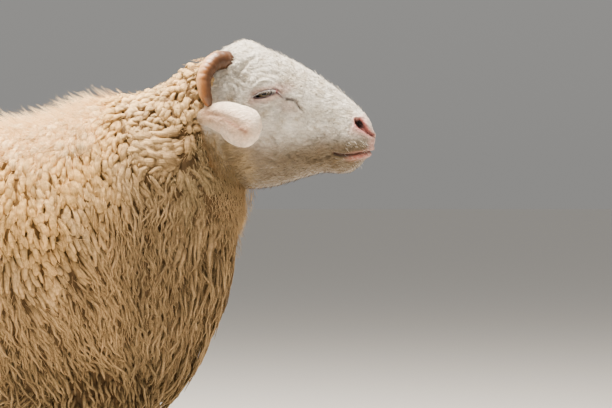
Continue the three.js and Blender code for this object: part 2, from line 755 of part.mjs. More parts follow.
const fleeceFinish = new THREE.MeshStandardMaterial({ color: 0xd9bd8e, roughness: 0.95 });
const faceFinish = new THREE.MeshStandardMaterial({ color: 0xd9d2c6, roughness: 0.9 });
const earFinish = new THREE.MeshStandardMaterial({ color: 0xefdcd2, roughness: 0.85 });
const hornFinish = new THREE.MeshStandardMaterial({ color: 0xa9744f, roughness: 0.55 });
const eyeFinish = new THREE.MeshStandardMaterial({ color: 0x2a2420, roughness: 0.15 });
const hoofFinish = new THREE.MeshStandardMaterial({ color: 0x5a4a3c, roughness: 0.6 });

const ram = new THREE.Group();
ram.add(meshOf("head", head, faceFinish));
ram.add(meshOf("neck", neck, fleeceFinish));
ram.add(meshOf("torso", torso, fleeceFinish));
ram.add(meshOf("tail", tail, fleeceFinish));
for (const [hand, sign] of [["left", 1], ["right", -1]]) {
  ram.add(meshOf(`eye_${hand}`, eyeball(sign), eyeFinish));
  ram.add(meshOf(`ear_${hand}`, largest(ears[hand].subtract(headSocket)), earFinish));
  ram.add(meshOf(`horn_${hand}`, largest(horns[hand].subtract(headSocket)), hornFinish));
  for (const leg of legs) {
    const upper = largest(upperLeg(leg, sign, trunkInside, random));
    ram.add(meshOf(`${leg.name}leg_upper_${hand}`, upper, fleeceFinish));
    ram.add(meshOf(`${leg.name}leg_lower_${hand}`, shankSolid(leg, sign), faceFinish));
    for (const [claw, way] of [["outer", 1], ["inner", -1]]) {
      const side = sign * (LEG_SPREAD + way * (CLAW_HALF_WIDTH + CLEFT / 2));
      const body = clawSolid(leg.clawX, side, -sign * way);
      ram.add(meshOf(`${leg.name}leg_claw_${claw}_${hand}`, body, hoofFinish));
    }
  }
}

// The middle of the whole stands over the origin.
const extent = new THREE.Box3().setFromObject(ram);
ram.position.x = -(extent.min.x + extent.max.x) / 2;

export default ram;
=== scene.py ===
# %% [markdown]
# # A young horned ram in his half-grown fleece
# This lesson dresses the plain solids of a standing ram with a skin, wool, short hair, horns,
# hooves and eyes. Everything is in metres, in the frame of the solids: +X towards the nose,
# +Y to the ram's left, +Z up, and the hooves stand on the floor at z = 0.
# The shapes are worked out in millimetres, because an animal is measured that way, and turned
# to metres when a mesh is made.

import json
import math

import bpy
import numpy as np
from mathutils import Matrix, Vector
from mathutils.bvhtree import BVHTree

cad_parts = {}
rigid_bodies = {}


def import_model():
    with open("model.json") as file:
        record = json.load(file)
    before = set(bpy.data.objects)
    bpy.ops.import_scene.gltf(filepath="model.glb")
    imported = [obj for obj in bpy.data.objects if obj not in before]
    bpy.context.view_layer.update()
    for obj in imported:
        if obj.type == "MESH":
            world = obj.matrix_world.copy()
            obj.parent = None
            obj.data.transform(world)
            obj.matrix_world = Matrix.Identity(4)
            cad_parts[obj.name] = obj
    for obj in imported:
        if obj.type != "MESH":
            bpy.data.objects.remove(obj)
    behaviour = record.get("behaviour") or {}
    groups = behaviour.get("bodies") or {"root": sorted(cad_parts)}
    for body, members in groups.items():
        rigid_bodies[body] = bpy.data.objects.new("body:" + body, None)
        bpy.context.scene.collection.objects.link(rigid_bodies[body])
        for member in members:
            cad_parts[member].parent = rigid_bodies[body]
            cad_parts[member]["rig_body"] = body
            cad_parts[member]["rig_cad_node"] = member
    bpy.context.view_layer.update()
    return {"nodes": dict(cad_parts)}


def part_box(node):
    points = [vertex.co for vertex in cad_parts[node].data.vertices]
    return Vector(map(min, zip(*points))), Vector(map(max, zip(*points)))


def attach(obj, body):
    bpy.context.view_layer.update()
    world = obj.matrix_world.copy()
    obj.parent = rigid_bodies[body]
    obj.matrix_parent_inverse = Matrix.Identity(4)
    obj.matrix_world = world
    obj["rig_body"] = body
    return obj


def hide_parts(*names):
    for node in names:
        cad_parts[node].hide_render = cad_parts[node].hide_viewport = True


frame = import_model()
MM = 0.001

# %% [markdown]
# ## Helpers for numbers
# A surface such as a trunk is easiest to describe by a few measured cross-sections. `along`
# turns such rows into a smooth curve that can be read at any place, for many places at once.
# Numpy does the sums, because a fleece has far too many points for a Python loop.


# %% Curves and blends
def along(rows):
    rows = np.array(rows, float)
    places, values = rows[:, 0], rows[:, 1:]
    after = np.minimum(np.arange(len(rows)) + 1, len(rows) - 1)
    before = np.maximum(np.arange(len(rows)) - 1, 0)
    slopes = (values[after] - values[before]) / (places[after] - places[before])[:, None]

    def at(place):
        place = np.asarray(place, float)
        k = np.clip(np.searchsorted(places, place, side="right") - 1, 0, len(rows) - 2)
        span = (places[k + 1] - places[k])[..., None]
        u = np.clip((place - places[k]) / (places[k + 1] - places[k]), 0, 1)[..., None]
        blend = u * u * (3 - 2 * u)
        leave = slopes[k] * span * u * (1 - u) ** 2
        arrive = slopes[k + 1] * span * u * u * (1 - u)
        return values[k] + (values[k + 1] - values[k]) * blend + leave - arrive

    return at


def smooth(start, end, value):
    t = np.clip((value - start) / (end - start), 0, 1)
    return t * t * (3 - 2 * t)


def mix(a, b, share):
    return a + (b - a) * share


def band(start, full, fade, end, value):
    """1 between full and fade, 0 outside start and end."""
    return smooth(start, full, value) * (1 - smooth(fade, end, value))


def bell(far, width):
    """1 at no distance, falling off to both sides."""
    return np.exp(-((far / width) ** 2))


def spot_at(x, y, middle, size):
    """1 at a place of a side view, falling off round it."""
    return np.exp(-(((x - middle[0]) / size[0]) ** 2) - ((y - middle[1]) / size[1]) ** 2)


def same(value):
    """A function of points that gives each the same value."""
    return lambda points: np.full(len(points), float(value))


def unit(vectors):
    return vectors / np.maximum(np.linalg.norm(vectors, axis=-1, keepdims=True), 1e-9)


def across(vectors, normals):
    return unit(vectors - normals * (vectors * normals).sum(-1, keepdims=True))


print("halfway along a curve through 0, 1 and 4:", along([[0, 0], [1, 1], [2, 4]])(1.5))

# %% [markdown]
# Nature is never quite even. `waves` is a cheap, repeatable unevenness: a sum of slow waves
# through space, from about -1 to 1, with hills about `size` millimetres across.


# %% Unevenness in space
def waves(points, size, seed, octaves=2):
    draw = np.random.default_rng(seed)
    total = np.zeros(points.shape[:-1])
    for octave in range(octaves):
        directions = unit(draw.normal(size=(6, 3))) * 2 * math.pi / (size / 2**octave)
        starts = draw.uniform(0, 2 * math.pi, 6)
        total += np.sin(points @ directions.T + starts).sum(-1) / 2.6 / 1.8**octave
    return np.clip(total / 1.2, -1.4, 1.4)


spots = np.random.default_rng(1).uniform(0, 500, (1000, 3))
print("waves run from", waves(spots, 40, 5).min().round(2), "to", waves(spots, 40, 5).max().round(2))

# %% [markdown]
# ## Helpers for meshes and materials
# A mesh can be typed in as points and faces, or grown with Blender's operators. The coat and the
# skin are too fine for operators, so `mesh_object` makes a mesh from arrays. `put` adds one
# shader node with its settings and links, so that a material reads as a short list. `grain` is a
# pattern that skin, horn and wool share: uneven spots that are both a height and a shade.


# %% Make a mesh from arrays
def move_points(mesh, points):
    mesh.vertices.foreach_set("co", (np.asarray(points) * MM).astype(np.float32).ravel())


def add_to_scene(piece):
    bpy.context.scene.collection.objects.link(piece)


def mesh_object(name, points, faces):
    faces = np.asarray(faces, np.int32)
    mesh = bpy.data.meshes.new(name)
    mesh.vertices.add(len(points))
    move_points(mesh, points)
    mesh.loops.add(faces.size)
    mesh.loops.foreach_set("vertex_index", faces.ravel())
    mesh.polygons.add(len(faces))
    starts = np.arange(0, faces.size, faces.shape[1], dtype=np.int32)
    mesh.polygons.foreach_set("loop_start", starts)
    mesh.update(calc_edges=True)
    mesh.validate()
    mesh.shade_smooth()
    piece = bpy.data.objects.new(name, mesh)
    add_to_scene(piece)
    return piece


def read(mesh_part, key, width=3):
    values = np.empty(len(mesh_part) * width, np.float32)
    mesh_part.foreach_get(key, values)
    return values.reshape(-1, width).astype(float)


def store(piece, name, kind, key, values):
    attribute = piece.data.attributes.new(name, kind, "POINT")
    attribute.data.foreach_set(key, np.asarray(values, np.float32).ravel())


def store_colour(piece, colours):
    opaque = np.concatenate([colours, np.ones((len(colours), 1))], 1)
    store(piece, "tint", "FLOAT_COLOR", "color", opaque)


def store_bake_map(piece, spots):
    """The UV map of a coat piece, from one place on the map for each point."""
    layer = piece.data.uv_layers.new(name="OFBake")
    corner = read(piece.data.loops, "vertex_index", 1).astype(int).ravel()
    layer.data.foreach_set("uv", spots[corner].astype(np.float32).ravel())


def make_active(piece):
    bpy.ops.object.select_all(action="DESELECT")
    bpy.context.view_layer.objects.active = piece
    piece.select_set(True)


print("a colour, a bake map and other values are stored by point")


# %% Colours and shader nodes
def linear(hex_code):
    parts = [int(hex_code[i : i + 2], 16) / 255 for i in (1, 3, 5)]
    return np.array([p / 12.92 if p <= 0.04045 else ((p + 0.055) / 1.055) ** 2.4 for p in parts])


def paint(hex_code):
    return (*linear(hex_code), 1)


def plug(tree, node, inputs):
    """Sets the inputs of a node, each to a value or to a link from another node."""
    for socket, value in inputs.items():
        if isinstance(value, bpy.types.NodeSocket):
            tree.links.new(value, node.inputs[socket])
        else:
            node.inputs[socket].default_value = value


def put(tree, kind, inputs=None, **settings):
    node = tree.nodes.new("ShaderNode" + kind)
    for key, value in settings.items():
        setattr(node, key, value)
    plug(tree, node, inputs or {})
    return node


def new_material(name):
    material = bpy.data.materials.new(name)
    material.use_nodes = True
    tree = material.node_tree
    return material, tree, tree.nodes["Principled BSDF"]


def wear(piece, material):
    piece.data.materials.clear()
    piece.data.materials.append(material)


print("a cream in linear light:", linear("#F0DDB8").round(3))


# %% Patterns that several materials share
def grain(tree, vector, size, detail, roughness, shades, reach=(0.3, 0.7)):
    """Uneven spots about a size apart: their height, and the share of the light they keep."""
    settings = {"Vector": vector, "Scale": 1 / size, "Detail": detail, "Roughness": roughness}
    height = put(tree, "TexNoise", settings).outputs["Fac"]
    limits = {"From Min": reach[0], "From Max": reach[1], "To Min": shades[0], "To Max": shades[1]}
    return height, put(tree, "MapRange", {"Value": height, **limits}).outputs["Result"]


def tinted(tree, *shades):
    """The colour stored by point, darkened by shades."""
    colour = put(tree, "Attribute", attribute_name="tint").outputs["Color"]
    for shade in shades:
        colour = put(tree, "VectorMath", {0: colour, "Scale": shade}, operation="SCALE").outputs[0]
    return colour


print("patterns: grain and tinted")

# %% [markdown]
# ## Studio, floor and camera
# Soft light is a large lamp: a big area light above gives gentle shadows, and a pale world
# fills them. The camera stands level with the withers and well back with a long lens, as one
# photographs an animal, so that near and far parts keep their true sizes.

# %% Where the body is
SKULL = np.array([257.5, 0, 677.7])  # the back of the skull, in the body's own measure
HEAD_PITCH = math.radians(11.4)  # the head's middle line points this much below level
FORWARD = np.array([math.cos(HEAD_PITCH), 0, -math.sin(HEAD_PITCH)])
UPWARD = np.array([math.sin(HEAD_PITCH), 0, math.cos(HEAD_PITCH)])
EYE_FORWARD, EYE_RISE, EYE_SIDE, EYE_RADIUS = 84, 30, 47.5, 14  # from the back of the skull
eye_low, eye_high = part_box("eye_left")
eye_x = (SKULL + FORWARD * EYE_FORWARD + UPWARD * EYE_RISE)[0]
SHIFT = (eye_low.x + eye_high.x) / 2 / MM - eye_x  # of the solids from that measure, along x
SKULL[0] += SHIFT
SIDES = ((1, "left"), (-1, "right"))  # the sign of y on each side


def side_view(points):
    """x in the body's own measure, and z."""
    return points[..., 0] - SHIFT, points[..., 2]


print("the body's measure is shifted by", round(SHIFT, 2), "mm")

# %% Camera
VIEW_WIDTH = 0.826  # metres across the picture at the body's middle plane
CAMERA_AWAY, CAMERA_HEIGHT, AIM_HEIGHT = 3.5, 0.60, 0.544
SENSOR = 36  # millimetres
MM_PER_PIXEL = 1.35
PICTURE_LEFT, PICTURE_MIDDLE = -12.5, 306  # body x at the left edge, and pixels from there on
camera_data = bpy.data.cameras.new("camera")
camera_data.sensor_width = SENSOR
camera_data.lens = SENSOR * CAMERA_AWAY / VIEW_WIDTH
camera = bpy.data.objects.new("camera", camera_data)
add_to_scene(camera)
bpy.context.scene.camera = camera
middle_x = (MM_PER_PIXEL * PICTURE_MIDDLE + PICTURE_LEFT + SHIFT) * MM
tilt = math.atan2(CAMERA_HEIGHT - AIM_HEIGHT, CAMERA_AWAY)
camera.location = (middle_x, -CAMERA_AWAY, CAMERA_HEIGHT)
camera.rotation_euler = (math.pi / 2 - tilt, 0, 0)
print("lens", round(camera_data.lens, 1), "mm")

# %% Floor
bpy.ops.mesh.primitive_plane_add(size=60, location=(0, 0, -0.0005))
floor = bpy.context.object
floor.name = "floor"
# The floor's paint is even and dull, so that the shadow of the feet stays soft.
floor_paint, tree, shader = new_material("matt_floor_paint")
plug(tree, shader, {"Base Color": paint("#E2DED8"), "Roughness": 0.8})
wear(floor, floor_paint)
print("floor at z =", floor.location.z)


# %% Lights
def area_light(name, place, target, size, power, colour):
    lamp = bpy.data.lights.new(name, "AREA")
    lamp.size, lamp.energy, lamp.color = size, power, linear(colour)
    light = bpy.data.objects.new(name, lamp)
    add_to_scene(light)
    light.location = place
    aim = Vector(target) - Vector(place)
    light.rotation_euler = aim.to_track_quat("-Z", "Y").to_euler()


LAMPS = [  # name, place, what it points at, size, power in watts, colour
    ("sky_light", (-0.1, 0.1, 3.0), (0.05, 0, 0.5), 1.6, 500, "#FFF4E4"),
    ("front_light", (2.2, -2.6, 1.7), (0.2, 0, 0.55), 2.0, 11, "#FFF4E6"),
    ("back_light", (-1.6, 2.6, 2.6), (0, 0, 0.6), 2.0, 30, "#F8F8FF"),
]
for lamp in LAMPS:
    area_light(*lamp)
WALL_AT_FLOOR, WALL_ABOVE = 0.31, 0.41  # a studio's wall is darker near the floor
world = bpy.data.worlds.new("studio")
bpy.context.scene.world = world
world.use_nodes = True
tree = world.node_tree
wall = tree.nodes["Background"]
looking = put(tree, "TexCoord").outputs["Generated"]
height = put(tree, "SeparateXYZ", {"Vector": looking}).outputs["Z"]
limits = {"From Min": 0, "From Max": 0.3, "To Min": WALL_AT_FLOOR, "To Max": WALL_ABOVE}
strength = put(tree, "MapRange", {"Value": height, **limits}).outputs["Result"]
plug(tree, wall, {"Color": paint("#F4F2EE"), "Strength": strength})

# %% [markdown]
# ## The body's surfaces
# One body line runs from the rump through the trunk and up the neck. Its cross-sections give
# the outline of the coat's tips. Each row holds: place on the line, top x and z, bottom x and
# z, half width. The skin lies half way down in the coat, where the solids have their core.

# %% Trunk and neck
TRUNK_ROWS = [
    [0, -478, 552, -480, 500, 30],
    [1, -468, 594, -474, 448, 80],
    [2, -442, 632, -454, 398, 118],
    [3, -385, 655, -402, 352, 142],
    [4, -300, 662, -310, 316, 157],
    [5, -190, 657, -190, 286, 168],
    [6, -70, 652, -62, 264, 174],
    [7, 30, 659, 60, 252, 170],
    [8, 100, 681, 160, 252, 157],
    [9, 146, 692, 222, 290, 138],
    [10, 182, 697, 268, 368, 118],
    [11, 212, 711, 296, 450, 99],
    [12, 238, 731, 318, 520, 82],
    [13, 261, 743, 331, 554, 66],
    [14, 278, 742, 340, 574, 48],
]
TRUNK_END = 14
CORE_DEPTH = 23  # from the lock tips down to the skin: half of a real fleece's depth
TRUNK_POWER = 2 / 2.15  # a little squarer than an ellipse
trunk_at = along(TRUNK_ROWS)


def rounded(value, power):
    return np.sign(value) * np.abs(value) ** power


def trunk(place, angle):
    top_x, top_z, bottom_x, bottom_z, half = np.moveaxis(trunk_at(place), -1, 0)
    side, rise = rounded(np.cos(angle), TRUNK_POWER), rounded(np.sin(angle), TRUNK_POWER)
    x = (top_x + bottom_x) / 2 + (top_x - bottom_x) / 2 * rise + SHIFT
    z = (top_z + bottom_z) / 2 + (top_z - bottom_z) / 2 * rise
    return np.stack([x, half * side, z], -1)


def outward(surface, place, angle):
    run = surface(place + 0.01, angle) - surface(place - 0.01, angle)
    turn = surface(place, angle + 0.02) - surface(place, angle - 0.02)
    return unit(np.cross(turn, run))


print("withers at", trunk(np.array(8.5), np.array(math.pi / 2)).round(0), "mm")

# %% [markdown]
# The legs are lofted the same way, from hoof to thigh: height, x of the middle line, half depth
# and half width of the bare leg. The wool on the upper leg starts above the knee or the hock.

# %% Legs
FORE_ROWS = [
    [28, 150, 20.5, 20],
    [36, 148, 19, 18.5],
    [48, 144, 15.5, 15.5],
    [62, 139, 15.5, 15.5],
    [78, 134, 18, 17.5],
    [95, 133, 13.8, 14],
    [125, 133, 13, 13],
    [160, 134, 15, 15],
    [180, 135, 20, 18.5],
    [196, 136, 23, 21],
    [212, 134, 22.5, 20],
    [235, 133, 27, 22],
    [265, 130, 40, 28],
    [300, 126, 52, 32],
    [345, 121, 60, 31],
    [406, 118, 60, 26],
]
HIND_ROWS = [
    [28, -352, 20.5, 20],
    [36, -355, 19, 18.5],
    [48, -360, 15.5, 15.5],
    [62, -367, 15.5, 15.5],
    [80, -374, 18, 17.5],
    [98, -378, 14.4, 14.5],
    [135, -381, 14, 13.5],
    [180, -385, 16.5, 14.5],
    [215, -389, 23, 18],
    [240, -392, 29, 20],
    [262, -387, 34, 23],
    [290, -374, 50, 31],
    [325, -357, 70, 38],
    [365, -347, 84, 41],
    [462, -342, 88, 32],
]
LEG_SPREAD = 78  # from the middle plane to a leg's middle line
LEG_COAT = 24  # depth of the wool on the upper leg
LEGS = {
    "fore": {"rows": along(FORE_ROWS), "coat_end": 214, "top": 400, "claw_x": 152, "fetlock": 78},
    "hind": {"rows": along(HIND_ROWS), "coat_end": 262, "top": 458, "claw_x": -350, "fetlock": 80},
}
CLAW_HEIGHT, CORONET_SLOPE = 27, 0.28  # of the hoof's upper edge, rising to the front


def leg_surface(leg, hand, coat):
    def at(height, angle):
        x, depth, width = np.moveaxis(leg["rows"](height), -1, 0)
        wool = coat * np.sqrt(np.clip((height - leg["coat_end"] + 8) / 30, 0, 1))
        # The lowest rings lean with the sloping upper edge of the hoof.
        reach = np.cos(angle) * (depth + wool)
        slope = CORONET_SLOPE * (x + reach - leg["claw_x"]) * (1 - smooth(28, 70, height))
        out = hand * LEG_SPREAD + np.sin(angle) * (width + wool)
        return np.stack([x + reach + SHIFT, out, height + slope], -1)

    return at


print("claws at x =", [round(leg["claw_x"] + SHIFT) for leg in LEGS.values()], "mm")

# %% Tail
TAIL_ROWS = [
    [0, -436, 604, 18, 24],
    [1, -462, 588, 26, 32],
    [2, -482, 552, 26, 34],
    [3, -492, 500, 25, 34],
    [4, -494, 440, 23, 30],
    [5, -490, 385, 18, 24],
    [6, -484, 348, 9, 12],
]
TAIL_COAT = 14  # depth of the wool on the tail
tail_at = along(TAIL_ROWS)


def tail(place, angle):
    x, z, depth, width = np.moveaxis(tail_at(place), -1, 0)
    x0, z0 = np.moveaxis(tail_at(place - 0.05)[..., :2], -1, 0)
    x1, z1 = np.moveaxis(tail_at(place + 0.05)[..., :2], -1, 0)
    back = unit(np.stack([z1 - z0, 0 * x0, x0 - x1], -1))
    middle = np.stack([x + SHIFT, np.sin(angle) * width, z], -1)
    return middle + back * (np.cos(angle) * depth)[..., None]


print("the tail ends", round(float(tail_at(6.0)[1])), "mm above the floor")

# %% [markdown]
# `loft` closes a skin over rings of points: two triangles for each step along and round, and a
# fan at each end. `round_skin` reads the rings off one of the surfaces, at a depth under it.


# %% Lofting
def loft_faces(rings, sides, first=1):
    i, j = np.meshgrid(np.arange(rings - 1), np.arange(sides), indexing="ij")
    a, b = first + i * sides + j, first + i * sides + (j + 1) % sides
    quads = [a, b, b + sides, a, b + sides, a + sides]
    return np.stack(quads, -1).reshape(-1, 3)


def loft(rings):
    count, sides = rings.shape[:2]
    points = np.concatenate([rings[:1].mean(1), rings.reshape(-1, 3), rings[-1:].mean(1)])
    j = np.arange(sides)
    start = np.stack([0 * j, 1 + (j + 1) % sides, 1 + j], -1)
    last = 1 + (count - 1) * sides
    end = np.stack([0 * j + len(points) - 1, last + j, last + (j + 1) % sides], -1)
    return points, np.concatenate([start, loft_faces(count, sides), end])


def all_round(places, sides):
    """Places and angles of rings of points."""
    return np.meshgrid(places, np.arange(sides) * 2 * math.pi / sides, indexing="ij")


def round_skin(name, surface, places, sides, depth):
    place, angle = all_round(places, sides)
    rings = surface(place, angle) - outward(surface, place, angle) * depth
    return mesh_object(name, *loft(rings))


skin_parts = [round_skin("skin_trunk", trunk, np.linspace(0.02, TRUNK_END, 90), 72, CORE_DEPTH)]
skin_parts.append(round_skin("skin_tail", tail, np.linspace(0, 6, 30), 24, TAIL_COAT / 2))
for leg in LEGS.values():
    for hand, _ in SIDES:
        surface = leg_surface(leg, hand, LEG_COAT / 2)
        heights = np.concatenate([np.arange(27.6, 240, 3.5), np.arange(240, leg["top"], 8)])
        skin_parts.append(round_skin("skin_leg", surface, heights, 36, 0))
print(len(skin_parts), "lofted parts of the skin")

# %% [markdown]
# ## The head
# The head is measured in its own frame: forward from the back of the skull, up from its middle
# line, and out to the side. The rows give top line, bottom line, half width, the level of the
# widest point, and how square the section is above and below it. Bulges and hollows of the
# face are added as soft swellings on both flanks.

# %% Head sections
HEAD_ROWS = [
    [-18, 26, -83, 46, 4, 2.2, 2.0],
    [-8, 46, -92, 52, 8, 2.3, 2.0],
    [2, 63, -97, 55, 12, 2.4, 2.0],
    [15, 78, -101, 57, 16, 2.5, 2.0],
    [38, 96, -104, 59, 22, 2.6, 2.0],
    [56, 97, -103, 60, 24, 2.5, 2.0],
    [72, 92, -99, 60, 24, 2.4, 2.1],
    [92, 87.5, -96, 57, 16, 2.2, 2.2],
    [116, 82, -88.5, 50, 2, 2.0, 2.4],
    [140, 74, -77, 44, -8, 1.9, 2.5],
    [165, 63.5, -63, 38, -12, 1.9, 2.4],
    [186, 53, -55, 34, -12, 2.0, 2.3],
    [204, 43, -53, 32, -10, 2.1, 2.3],
    [218, 34, -48, 30, -8, 2.2, 2.2],
    [229, 24, -36, 26, -6, 2.2, 2.2],
    [237, 11, -21, 17, -5, 2.0, 2.0],
]
FACE_FORMS = [  # forward, rise, reach forward, reach up, height
    [80, 42, 24, 13, 6],
    [84, 14, 16, 10, 2],
    [50, 44, 15, 16, -4],
    [112, 22, 16, 12, -4],
    [128, -8, 34, 9, 3],
    [78, -44, 34, 28, 4],
    [150, -40, 26, 9, -2.5],
    [222, 20, 9, 9, 3],
    [212, -6, 16, 9, 2.5],
    [216, -42, 13, 8, 2],
    [120, 6, 17, 9, -2.5],
    [104, -32, 11, 20, 2.5],
    [130, -34, 11, 14, -2.5],
    [166, 12, 26, 7, -2],
    [181, -30, 9, 7, -2.5],
]
head_at = along(HEAD_ROWS)
print("the head is", HEAD_ROWS[-1][0] - HEAD_ROWS[0][0], "mm long without the cap of the nose")

# %% The head's surface
LID_THICKNESS = 1.6
LID_REACH = 380  # square of the distance from the eye's middle up to which the lid is lifted
OUT_OF_REACH = 200  # takes the ball's surface out of the blend further away


def face_form(f, r):
    return sum(h * spot_at(f, r, (a, b), (c, d)) for a, b, c, d, h in FACE_FORMS)


def over_eye(f, r, side):
    """Where the lid lies over the eyeball it follows the ball."""
    far = (f - EYE_FORWARD) ** 2 + (r - EYE_RISE) ** 2
    bulge = np.sqrt(np.maximum((EYE_RADIUS + LID_THICKNESS) ** 2 - far, 0))
    ball = EYE_SIDE + bulge - OUT_OF_REACH * (far > LID_REACH)
    return 0.5 * (side + ball + np.sqrt((side - ball) ** 2 + 4)) - 0.25


def flank(f, r):
    """Half width of the head at a place of its side view."""
    top, bottom, half, level, above, below = np.moveaxis(head_at(f), -1, 0)
    up = r >= level
    share = np.where(up, (r - level) / (top - level), (level - r) / (level - bottom))
    power = np.where(up, above, below)
    s = np.clip(share, 0, 1) ** (power / 2)
    c = np.sqrt(1 - s * s)
    side = c ** (2 / power) * half + c * face_form(f, r) * np.minimum(1, 2 * c)
    return over_eye(f, r, side)


def head_ring(f, angle):
    """Forward, rise and side of points round the head."""
    top, bottom, half, level, above, below = np.moveaxis(head_at(f), -1, 0)
    c, s = np.cos(angle), np.sin(angle)
    power = 2 / np.where(s >= 0, above, below)
    rise = level + np.abs(s) ** power * (np.where(s >= 0, top, bottom) - level)
    c, hand = np.abs(c), np.sign(c)
    side = c**power * half + c * face_form(f, rise) * np.minimum(1, 2 * c)
    side = np.where(c > 0.4, over_eye(f, rise, side), side)
    return np.stack([f + 0 * rise, rise, hand * side], -1)


def from_head(places):
    f, r, s = np.moveaxis(places, -1, 0)
    return SKULL + f[..., None] * FORWARD + r[..., None] * UPWARD + s[..., None] * [0, 1, 0]


def to_head(points):
    """Forward, rise and side of points."""
    away = points - SKULL
    return away @ FORWARD, away @ UPWARD, points[..., 1]


print("half width at the eye", flank(np.array(84.0), np.array(30.0)).round(1), "mm")

# %% [markdown]
# A head with an eye needs a mesh whose loops run round the eye, as a sculptor's would. The
# surface is a grid of rings from poll to lips. A block of it is left out at each eye, and a
# patch of loops fills the hole: its outer loop is the block's edge, its inner loop the rim of
# the lids, and a few more loops turn the rim in against the eyeball.

# %% Grid of the head
HEAD_SIDES = 288
STRETCHES = ((-18, 56, 2.0), (56, 112, 1.3), (112, 200, 2.0), (200, 237.1, 1.0))  # finer at eye and nose
head_f = np.concatenate([np.arange(*stretch) for stretch in STRETCHES])
head_angles = -math.pi / 2 + np.arange(HEAD_SIDES) * 2 * math.pi / HEAD_SIDES
grid_f, grid_angle = np.meshgrid(head_f, head_angles, indexing="ij")
grid = head_ring(grid_f, grid_angle)
NOSE = np.array([241, -5, 0])  # its foremost point, in head measure
shrink = np.linspace(0, 1, 10)[1:-1, None, None]
cap = NOSE + (grid[-1] - NOSE) * (1 - shrink)
cap[..., 0] = head_f[-1] + (NOSE[0] - head_f[-1]) * np.sqrt(1 - (1 - shrink[..., 0]) ** 2)
grid = np.concatenate([grid, cap])
HEAD_COUNT = len(grid)
print("head grid", HEAD_COUNT, "by", HEAD_SIDES)

# %% The rim of the lids
LID_TILT = math.radians(27.6)  # the front corner of the eye stands above the back one
LID_MIDDLE = np.array([84.5, 30.8])
LID_HALF_LENGTH, LID_UPPER, LID_LOWER = 14.8, 3.5, 4.3  # of the half closed opening


def almond(turn, grow=0.0):
    """Points of the rim of the lids in the head's side view."""
    height = np.where(np.sin(turn) > 0, LID_UPPER, LID_LOWER) + grow
    x = (LID_HALF_LENGTH + grow) * np.cos(turn)
    y = height * rounded(np.sin(turn), 1.25)
    c, s = math.cos(LID_TILT), math.sin(LID_TILT)
    return LID_MIDDLE + np.stack([x * c - y * s, x * s + y * c], -1)


def turn_about_eye(places):
    c, s = math.cos(LID_TILT), math.sin(LID_TILT)
    away = places - LID_MIDDLE
    x, y = away[..., 0] * c + away[..., 1] * s, -away[..., 0] * s + away[..., 1] * c
    return np.arctan2(y / 0.62, x)


print("front corner of the eye at", almond(np.array(0.0)).round(1), "forward and up")


# %% Patch of loops round an eye
EYE_I = (int(np.searchsorted(head_f, 60)), int(np.searchsorted(head_f, 110)))
EYE_J = (66, 92)  # columns of the block on the left; those on the right mirror them
LOOPS_OUTSIDE = 15
TURNED_IN = [(0.5, 0.35), (0.85, 1.3), (0.6, 3.2), (0.2, 6)]  # in from the rim, and down


def hole_edge(hand):
    (i0, i1), (j0, j1) = EYE_I, EYE_J
    edge = [(i, j0) for i in range(i0, i1)] + [(i1, j) for j in range(j0, j1)]
    edge += [(i, j1) for i in range(i1, i0, -1)] + [(i0, j) for j in range(j1, j0, -1)]
    return np.array([(i, j if hand > 0 else HEAD_SIDES - j) for i, j in edge])


def eye_loops(hand):
    """Loops from the hole's edge to the rim and in against the eyeball, in head measure."""
    edge = hole_edge(hand)
    outer = grid[edge[:, 0], edge[:, 1]][:, :2]
    rim = almond(turn_about_eye(outer))
    loops = []
    for share in 1 - (1 - np.arange(1, LOOPS_OUTSIDE + 1) / LOOPS_OUTSIDE) ** 1.7:
        flat = mix(outer, rim, share)
        loops.append(np.column_stack([flat, flank(*flat.T)]))
    for inset, drop in TURNED_IN:
        flat = almond(turn_about_eye(outer), -inset)
        loops.append(np.column_stack([flat, flank(*flat.T) - drop]))
    loops = np.array(loops)
    loops[..., 2] *= hand
    return edge, loops


print("an eye's patch has", eye_loops(1)[1].shape[0], "loops")


